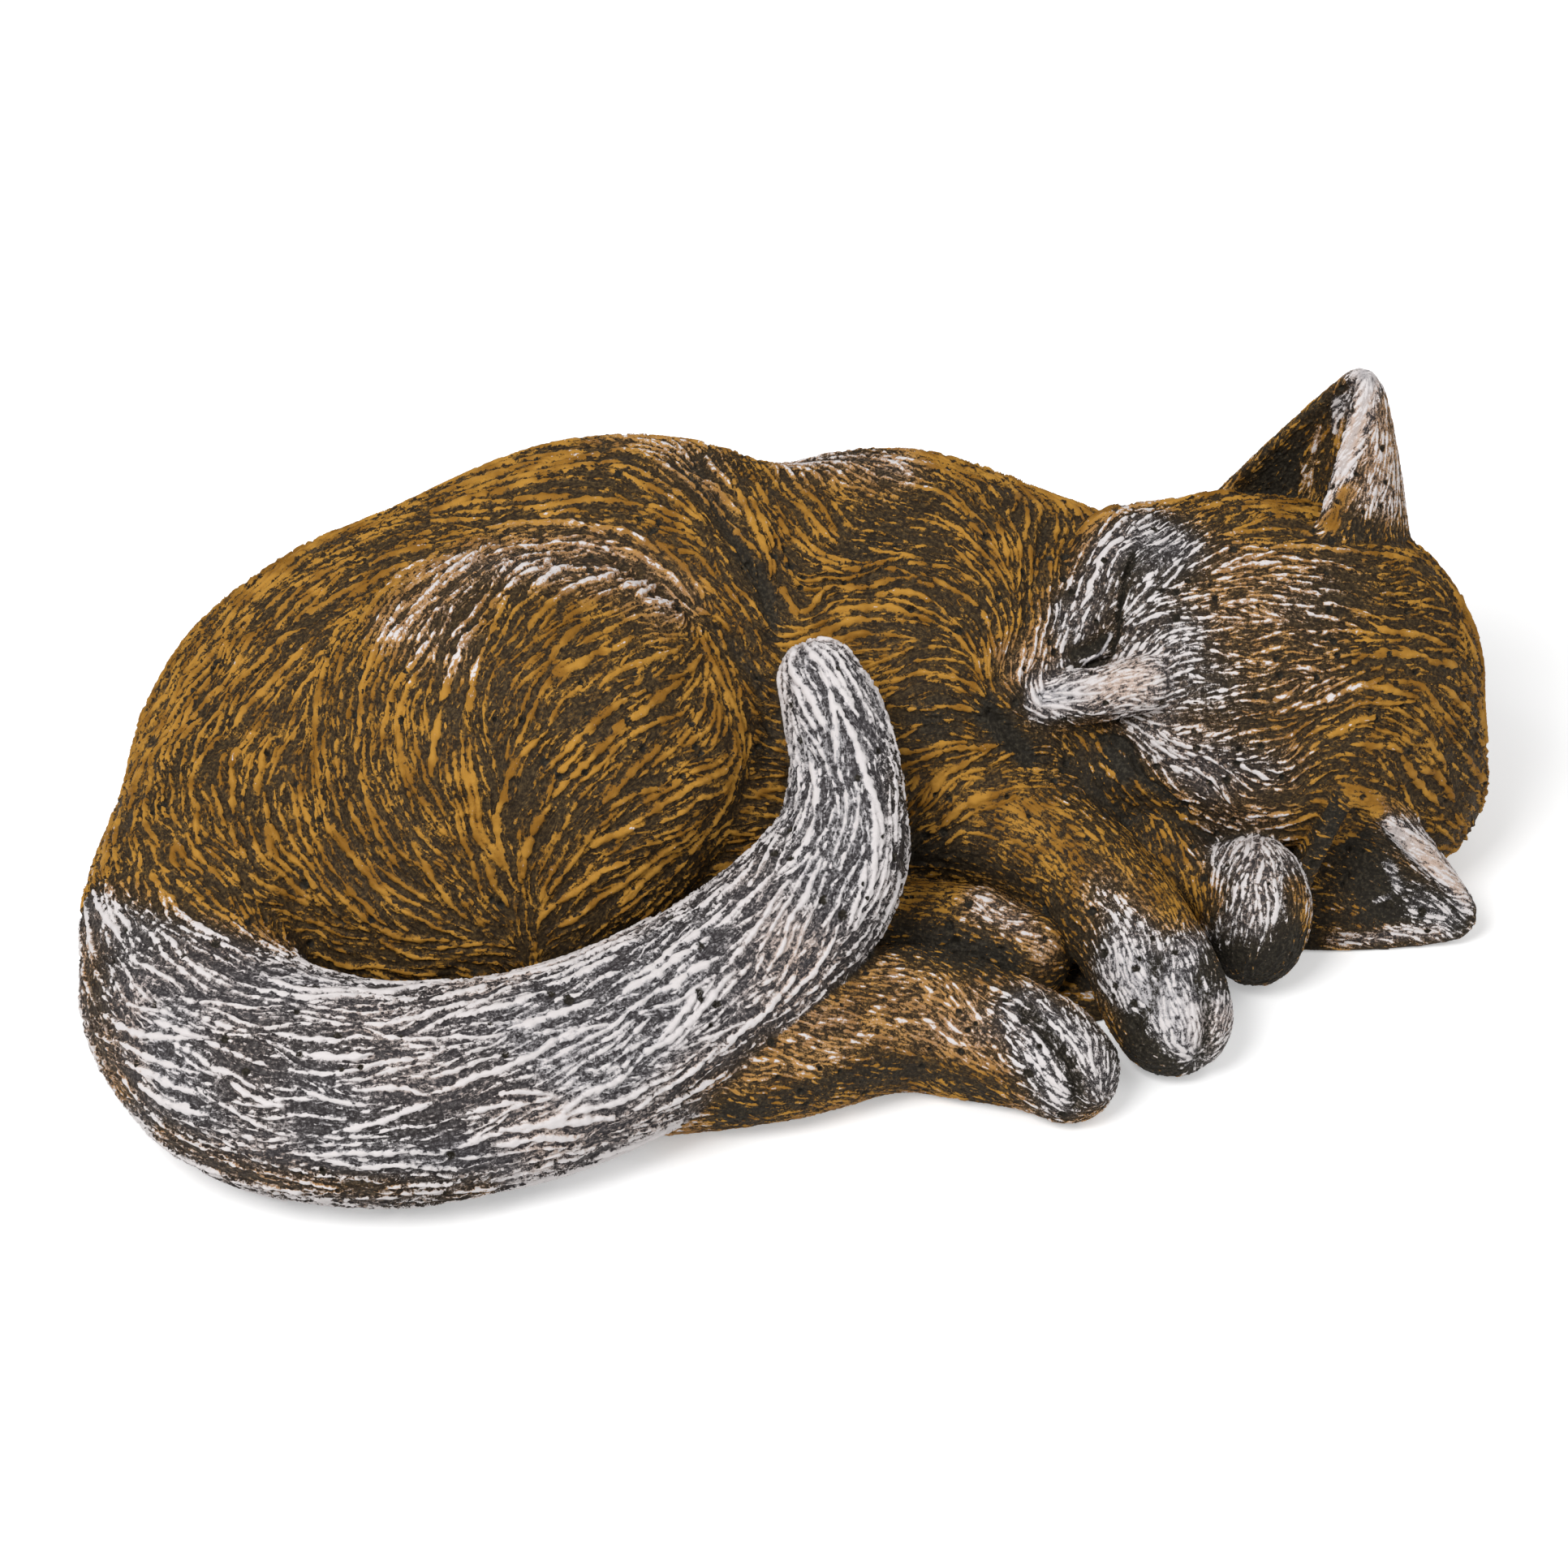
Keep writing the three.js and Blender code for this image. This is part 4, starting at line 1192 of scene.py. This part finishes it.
def paint_shares(points, form, random):
    """Shares of ochre and white at each vertex."""
    ochre, white = np.array([PAINT[name] for name in NAMES])[form].T
    places = seen(points)

    def brush(rows, strokes):
        for line, width, ochre_here, white_here in strokes:
            weight = nearness(places[rows], line, width)
            ochre[rows] += (ochre_here - ochre[rows]) * weight
            white[rows] += (white_here - white[rows]) * weight

    brush(np.arange(len(points)), STROKES)
    for name, strokes in OWN_STROKES.items():
        brush(np.nonzero(form == NAMES.index(name))[0], strokes)
    change, wave = OCHRE_PATCHES
    ochre += change * ripple(points, wave, random)
    change, wave = WHITE_PATCHES
    white += change * ripple(points, wave, random) * (white > LEAST_WHITE)
    return np.maximum(ochre, 0), np.maximum(white, 0)


# Stone and its paint

STAIN_DARK = (0.016, 0.013, 0.009, 1)
STAIN_PALE = (0.052, 0.044, 0.030, 1)
BROWN_DARK = (0.021, 0.0125, 0.006, 1)
BROWN_PALE = (0.086, 0.055, 0.022, 1)
GREY_DARK = (0.028, 0.024, 0.026, 1)
GREY_PALE = (0.110, 0.102, 0.106, 1)
OCHRE_DEEP = (0.26, 0.115, 0.012, 1)
OCHRE_BRIGHT = (0.47, 0.235, 0.035, 1)
TAN = (0.48, 0.28, 0.15, 1)
WHITE_WARM = (0.56, 0.42, 0.34, 1)
WHITE_COOL = (0.46, 0.44, 0.45, 1)
WHITE_PALE = (0.70, 0.66, 0.655, 1)


class Nodes:
    """Short names for making and joining shader nodes."""

    def __init__(self, tree):
        self.tree = tree

    def add(self, kind, **settings):
        node = self.tree.nodes.new(kind)
        for name, value in settings.items():
            setattr(node, name, value)
        return node

    def join(self, source, target):
        self.tree.links.new(source, target)

    def feed(self, socket, value):
        if isinstance(value, bpy.types.NodeSocket):
            self.join(value, socket)
        else:
            socket.default_value = value

    def attribute(self, name):
        return self.add("ShaderNodeAttribute", attribute_name=name).outputs["Fac"]

    def noise(self, place, scale, detail=2.0, rough=0.5):
        node = self.add("ShaderNodeTexNoise")
        self.join(place, node.inputs["Vector"])
        node.inputs["Scale"].default_value = scale
        node.inputs["Detail"].default_value = detail
        node.inputs["Roughness"].default_value = rough
        return node.outputs["Fac"]

    def stretch(self, place, factors):
        node = self.add("ShaderNodeVectorMath", operation="MULTIPLY")
        self.join(place, node.inputs[0])
        node.inputs[1].default_value = factors
        return node.outputs[0]

    def math(self, operation, a, b=0.0, c=0.0):
        node = self.add("ShaderNodeMath", operation=operation)
        for socket, value in zip(node.inputs, (a, b, c)):
            self.feed(socket, value)
        return node.outputs[0]

    def add_even(self, total, noise, share):
        """Adds a share of a noise, taken as even about zero."""
        return self.math("MULTIPLY_ADD", self.math("SUBTRACT", noise, 0.5), share, total)

    def blend(self, share, a, b):
        node = self.add("ShaderNodeMix", data_type="RGBA")
        self.feed(node.inputs["Factor"], share)
        self.feed(node.inputs["A"], a)
        self.feed(node.inputs["B"], b)
        return node.outputs["Result"]

    def ramp(self, value, low, high, start=0.0, end=1.0):
        node = self.add("ShaderNodeMapRange", interpolation_type="SMOOTHSTEP")
        self.feed(node.inputs["Value"], value)
        self.feed(node.inputs["From Min"], low)
        self.feed(node.inputs["From Max"], high)
        node.inputs["To Min"].default_value = start
        node.inputs["To Max"].default_value = end
        return node.outputs["Result"]


# Noise that follows the strands, per mm along and across: thin fibres, and notches in their edges
FIBRE_STRETCH = (0.45, 2.4, 1.0)
NOTCH_STRETCH = (0.5, 0.9, 1.0)

# Noise through the stone, per metre
GRAIN_SCALE = 2400
FLECK_SCALE = 1100
CLOUD_SCALE = 140

# How far inside its strand a place counts, in mm, and what each measure adds to how it stands up
INSIDE_RANGE = (-0.7, 0.3)
INSIDE_SHARE = 1.7
# painted shade, partly real: places darkened in hollows, grooves and pinholes catch less paint
SHADE_SHARE = -0.6
SPECK_SHARE = 1.3
CLOUD_SHARE = 0.5
NOTCH_SHARE = 1.9
TOUCH_SPECK = 4.0
TOUCH_HEIGHT = 0.5

# A paint starts where a place stands above bare + slope x share, in full from FULL_RANGE above
# that; its faint dabs, no stronger than dab, start DAB_BELOW below it
OCHRE_RULE = (1.43, -1.15, 0.35)
WHITE_RULE = (1.9, -1.6, 0.6)
FULL_RANGE = 0.25
DAB_BELOW = 0.35
DAB_RANGE = 0.6

# Ranges of a measure over which one colour gives way to another
STAIN_RANGE = (0.42, 0.72)
WORN_RANGE = (0.85, 1.25)
BRIGHT_RANGE = (0.35, 0.65)
TAN_RANGE = (0.15, 0.8)
TAN_MOST = 0.75
WARM_RANGE = (0.25, 0.55)
PALE_RANGE = (0.5, 0.95)
BROWN_RANGE = (0.1, 0.7)
GREY_RANGE = (0.5, 1.0)
# painted shade, partly real: how far darkened hollows, grooves and pinholes pull the ground back to
# dark stain
SHADED = -0.5

GRAIN_RANGE = (0.3, 0.7)
SPECULAR = 0.18
ROUGHNESS = (0.62, 0.85)
BUMP_STRENGTH = 0.5
BUMP_DEPTH = 0.3


def stone_ground(nodes, fleck, fibre, ochre_share, white_share):
    """The stain between the brush marks: nearly black, brown under ochre and grey under white; darker
    in hollows, grooves and pinholes as painted shade, partly real.
    """
    stain = nodes.blend(nodes.ramp(fleck, *STAIN_RANGE), STAIN_DARK, STAIN_PALE)
    worn = nodes.ramp(nodes.math("ADD", fleck, fibre), *WORN_RANGE)
    brown = nodes.blend(worn, BROWN_DARK, BROWN_PALE)
    grey = nodes.blend(worn, GREY_DARK, GREY_PALE)
    # Painted shade, partly real: brown and grey give way to the dark stain in hollows, grooves and
    # pinholes
    shaded = nodes.math("MULTIPLY", nodes.attribute("shade"), SHADED)
    under_ochre = nodes.ramp(nodes.math("ADD", ochre_share, shaded), *BROWN_RANGE)
    under_white = nodes.ramp(nodes.math("ADD", white_share, shaded), *GREY_RANGE)
    return nodes.blend(under_white, nodes.blend(under_ochre, stain, brown), grey)


def ochre_paint(nodes, cloud, white_share):
    ochre = nodes.blend(nodes.ramp(cloud, *BRIGHT_RANGE), OCHRE_DEEP, OCHRE_BRIGHT)
    return nodes.blend(nodes.ramp(white_share, *TAN_RANGE, 0.0, TAN_MOST), ochre, TAN)


def white_paint(nodes, caught, ochre_share):
    edge = nodes.blend(nodes.ramp(ochre_share, *WARM_RANGE), WHITE_COOL, WHITE_WARM)
    return nodes.blend(nodes.ramp(caught, *PALE_RANGE), edge, WHITE_PALE)


def painted_stone(name):
    """Dark stained stone with ochre and white brushed over what stands up."""
    material = bpy.data.materials.new(name)
    material.use_nodes = True
    nodes = Nodes(material.node_tree)
    shader = material.node_tree.nodes["Principled BSDF"]
    place = nodes.add("ShaderNodeTexCoord").outputs["Object"]
    grain = nodes.noise(place, GRAIN_SCALE, 2)
    fleck = nodes.noise(place, FLECK_SCALE, 3, 0.6)
    cloud = nodes.noise(place, CLOUD_SCALE, 2)
    lie = nodes.add("ShaderNodeAttribute", attribute_name="lie").outputs["Vector"]
    fibre = nodes.noise(nodes.stretch(lie, FIBRE_STRETCH), 1.0, 3, 0.6)
    notch = nodes.noise(nodes.stretch(lie, NOTCH_STRETCH), 1.0, 1)
    ochre_share = nodes.attribute("ochre")
    white_share = nodes.attribute("white")
    inside = nodes.math("MAXIMUM", nodes.attribute("stand"), INSIDE_RANGE[0])
    inside = nodes.math("MINIMUM", inside, INSIDE_RANGE[1])
    height = nodes.math("MULTIPLY_ADD", inside, INSIDE_SHARE, nodes.attribute("lift"))
    # Painted shade, partly real: less paint is caught in hollows, grooves and pinholes
    height = nodes.math("MULTIPLY_ADD", nodes.attribute("shade"), SHADE_SHARE, height)
    speck = nodes.add_even(nodes.add_even(nodes.add_even(0.0, fleck, 0.7), grain, 0.5), fibre, 0.9)
    caught = nodes.math("MULTIPLY_ADD", speck, SPECK_SHARE, height)
    caught = nodes.add_even(nodes.add_even(caught, cloud, CLOUD_SHARE), notch, NOTCH_SHARE)
    touched = nodes.math("MULTIPLY", height, TOUCH_HEIGHT)
    touched = nodes.math("MULTIPLY_ADD", speck, TOUCH_SPECK, touched)
    ochre = ochre_paint(nodes, cloud, white_share)
    white = white_paint(nodes, caught, ochre_share)
    colour = stone_ground(nodes, fleck, fibre, ochre_share, white_share)
    for paint, share, (bare, slope, dab) in ((ochre, ochre_share, OCHRE_RULE),
                                             (white, white_share, WHITE_RULE)):
        start = nodes.math("MULTIPLY_ADD", share, slope, bare)
        full = nodes.ramp(caught, start, nodes.math("ADD", start, FULL_RANGE))
        low = nodes.math("SUBTRACT", start, DAB_BELOW)
        faint = nodes.ramp(touched, low, nodes.math("ADD", low, DAB_RANGE), 0.0, dab)
        colour = nodes.blend(nodes.math("MAXIMUM", full, faint), colour, paint)
    nodes.join(colour, shader.inputs["Base Color"])
    nodes.join(nodes.ramp(grain, *GRAIN_RANGE, *ROUGHNESS), shader.inputs["Roughness"])
    shader.inputs["Specular IOR Level"].default_value = SPECULAR
    bump = nodes.add("ShaderNodeBump")
    bump.inputs["Strength"].default_value = BUMP_STRENGTH
    bump.inputs["Distance"].default_value = BUMP_DEPTH * MM
    nodes.join(nodes.math("MULTIPLY_ADD", grain, 0.5, fleck), bump.inputs["Height"])
    nodes.join(bump.outputs["Normal"], shader.inputs["Normal"])
    return material


# Pieces

MOST_QUADS = 95000
FINE_GAP = 2.8
GROUND_LEVEL = 0.3
FUR_LEVEL = 0.8
STAND_CHANGE = 0.12
STAND_WAVE = 2.6

# Painted shade, partly real: the stain stays dark, and takes less paint, in hollows deeper than
# HOLLOW_START, in grooves and in pinholes, partly as unpainted recesses and partly as painted shade;
# bare places stay dark, unpainted
HOLLOW_START = 0.4
HOLLOW_MOST = 1.5
HOLLOW_SHADE = 0.8
GROOVE_MOST = 2
GROOVE_SHADE = 0.6
PIT_SHADE = 3

# Fur has walls RIDGE_EDGE to each side of a strand's rim, lies lower in hollows, and is sunk by a
# share of its height; all relief fades out within GROUND_FADE of the ground
RIDGE_EDGE = 0.35
FREE_START = 1.2
FREE_MOST = 2
SUNK = 0.35
ROUGH = 0.05
PIT_DEPTH = 0.9
GROUND_FADE = 2


def shade_of(hollow, bare, details, pits):
    """How dark each vertex stays: unpainted on bare places, and painted shade, partly real, in hollows,
    grooves and pinholes.
    """
    shade = np.clip(hollow - HOLLOW_START, 0, HOLLOW_MOST) * HOLLOW_SHADE + bare
    return shade + np.clip(-details, 0, GROOVE_MOST) * GROOVE_SHADE + pits * PIT_SHADE


def rise_of(points, stand, lift, height, hollow, bare, details, pits, random):
    """How far each vertex moves out of the smooth form."""
    edge = np.clip((stand + RIDGE_EDGE) / (2 * RIDGE_EDGE), 0, 1)
    relief = edge * edge * (3 - 2 * edge) * lift
    free = np.clip(FREE_START - np.clip(hollow, 0, FREE_MOST) - bare, 0, 1)
    rough = ROUGH * random.normal(size=len(points))
    rise = (relief * free - SUNK) * height + rough + details - pits * PIT_DEPTH
    return rise * np.clip(points[:, 2] / GROUND_FADE, 0, 1)


def add_piece(name, node, points, quads, values, material):
    used, local = np.unique(quads, return_inverse=True)
    mesh = bpy.data.meshes.new(name)
    mesh.vertices.add(len(used))
    mesh.vertices.foreach_set("co", (points[used] * MM).astype(np.float32).ravel())
    mesh.loops.add(quads.size)
    mesh.loops.foreach_set("vertex_index", local.ravel().astype(np.int32))
    mesh.polygons.add(len(quads))
    mesh.polygons.foreach_set("loop_start", np.arange(0, quads.size, 4, dtype=np.int32))
    mesh.update(calc_edges=True)
    mesh.shade_smooth()
    for key, value in values.items():
        kind, field = ("FLOAT", "value") if value.ndim == 1 else ("FLOAT_VECTOR", "vector")
        attribute = mesh.attributes.new(key, kind, "POINT")
        attribute.data.foreach_set(field, value[used].astype(np.float32).ravel())
    mesh.materials.append(material)
    piece = bpy.data.objects.new(name, mesh)
    bpy.context.scene.collection.objects.link(piece)
    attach(piece, "root")
    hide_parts(node)


def add_pieces(points, quads, form, values, material):
    """One piece for each form, or a row of pieces along x where it has very many quads."""
    owner = form[quads[:, 0]]
    for number, name in enumerate(NAMES):
        mine = quads[owner == number]
        parts = -(-len(mine) // MOST_QUADS)
        order = np.argsort(points[mine[:, 0], 0], kind="stable")
        for part, rows in enumerate(np.array_split(order, parts)):
            label = f"cat_{name}" if parts == 1 else f"cat_{name}_{part + 1}"
            add_piece(label, name, points, mine[rows], values, material)


def build_statue():
    random = np.random.default_rng(SEED)
    points, quads = surface_net(lattice(statue, 1))
    points = settle(points)
    on_ground = (points[quads][:, :, 2] < GROUND_LEVEL).all(1)
    ground_quads = quads[on_ground]
    ground_points = points
    points, quads = subdivide(points, quads[~on_ground])
    normals = normals_of(points, quads)
    form = nearest_form(points)
    gap, reach, height = fur_sizes(points, form, random)
    hollow = hollowness(points, quads, normals)
    chosen = (gap[quads] < FINE_GAP).all(1)
    quads, edges, split, border = refine(points, quads, chosen)
    middles = len(points) + np.nonzero(border)[0]
    points, gap, reach, height, hollow = (
        extend(value, edges, split) for value in (points, gap, reach, height, hollow))
    form = np.concatenate([form, form[edges[:, 0]], form[split[:, 0]]])
    normals = normals_of(points, quads)
    heading = fur_heading(points, normals, form, random)
    details, bare = carve_details(points)
    used = np.zeros(len(points), bool)
    used[quads.ravel()] = True
    eligible = used & (points[:, 2] > FUR_LEVEL)
    strands = lay_strands(points, normals, heading, gap, reach, eligible, random)
    stand, lift, lie = stand_of(points, normals, strands, random)
    stand += STAND_CHANGE * ripple(points, STAND_WAVE, random)
    pits = pit_depths(points, eligible, random)
    # Painted shade, partly real: darkness kept in hollows, grooves and pinholes; bare places are
    # unpainted
    shade = shade_of(hollow, bare, details, pits)
    rise = rise_of(points, stand, lift, height, hollow, bare, details, pits, random)
    points = points + rise[:, None] * normals
    points[:, 2] = np.maximum(points[:, 2], 0)
    points[middles] = points[edges[border]].mean(1)
    ochre, white = paint_shares(points, form, random)
    values = {"stand": stand, "lift": lift, "ochre": ochre, "white": white, "shade": shade, "lie": lie}
    material = painted_stone("painted_stone")
    add_pieces(points, quads, form, values, material)
    flat = {key: np.zeros((len(ground_points), *value.shape[1:])) for key, value in values.items()}
    add_piece("cat_underside", "torso", ground_points, ground_quads, flat, material)


# Floor and lights

FLOOR_SIDE = 6
FLOOR_COLOUR = (0.9, 0.9, 0.9, 1)
FLOOR_ROUGHNESS = 0.9
FLOOR_GLOW = 0.35
WHITE = (1, 1, 1, 1)
LAMPS = {
    "key_lamp": dict(place=(-0.7, -0.9, 1.5), size=0.8, power=23),
    "fill_lamp": dict(place=(1.2, -0.6, 1.2), size=1.4, power=6),
}
WORLD_LIGHT = 0.45


def add_floor():
    """A pale floor that the camera and glossy or clear surfaces see as nearly white."""
    bpy.ops.mesh.primitive_plane_add(size=FLOOR_SIDE)
    floor = bpy.context.object
    floor.name = "floor"
    material = bpy.data.materials.new("pale_floor")
    material.use_nodes = True
    nodes = Nodes(material.node_tree)
    shader = material.node_tree.nodes["Principled BSDF"]
    shader.inputs["Base Color"].default_value = FLOOR_COLOUR
    shader.inputs["Roughness"].default_value = FLOOR_ROUGHNESS
    shader.inputs["Emission Color"].default_value = WHITE
    path = nodes.add("ShaderNodeLightPath")
    direct = nodes.math("MAXIMUM", path.outputs["Is Camera Ray"], path.outputs["Is Glossy Ray"])
    direct = nodes.math("MAXIMUM", direct, path.outputs["Is Transmission Ray"])
    nodes.join(nodes.math("MULTIPLY", direct, FLOOR_GLOW), shader.inputs["Emission Strength"])
    floor.data.materials.append(material)


def add_lamp(name, place, size, power):
    data = bpy.data.lights.new(name, "AREA")
    data.size = size
    data.energy = power
    lamp = bpy.data.objects.new(name, data)
    bpy.context.scene.collection.objects.link(lamp)
    lamp.location = place
    lamp.rotation_euler = (-Vector(place)).to_track_quat("-Z", "Y").to_euler()


def add_lights():
    for name, settings in LAMPS.items():
        add_lamp(name, **settings)
    world = bpy.data.worlds.new("studio")
    bpy.context.scene.world = world
    world.use_nodes = True
    background = world.node_tree.nodes["Background"]
    background.inputs["Color"].default_value = WHITE
    background.inputs["Strength"].default_value = WORLD_LIGHT


bpy.context.scene.view_settings.view_transform = "Standard"
add_camera()
build_statue()
add_floor()
add_lights()
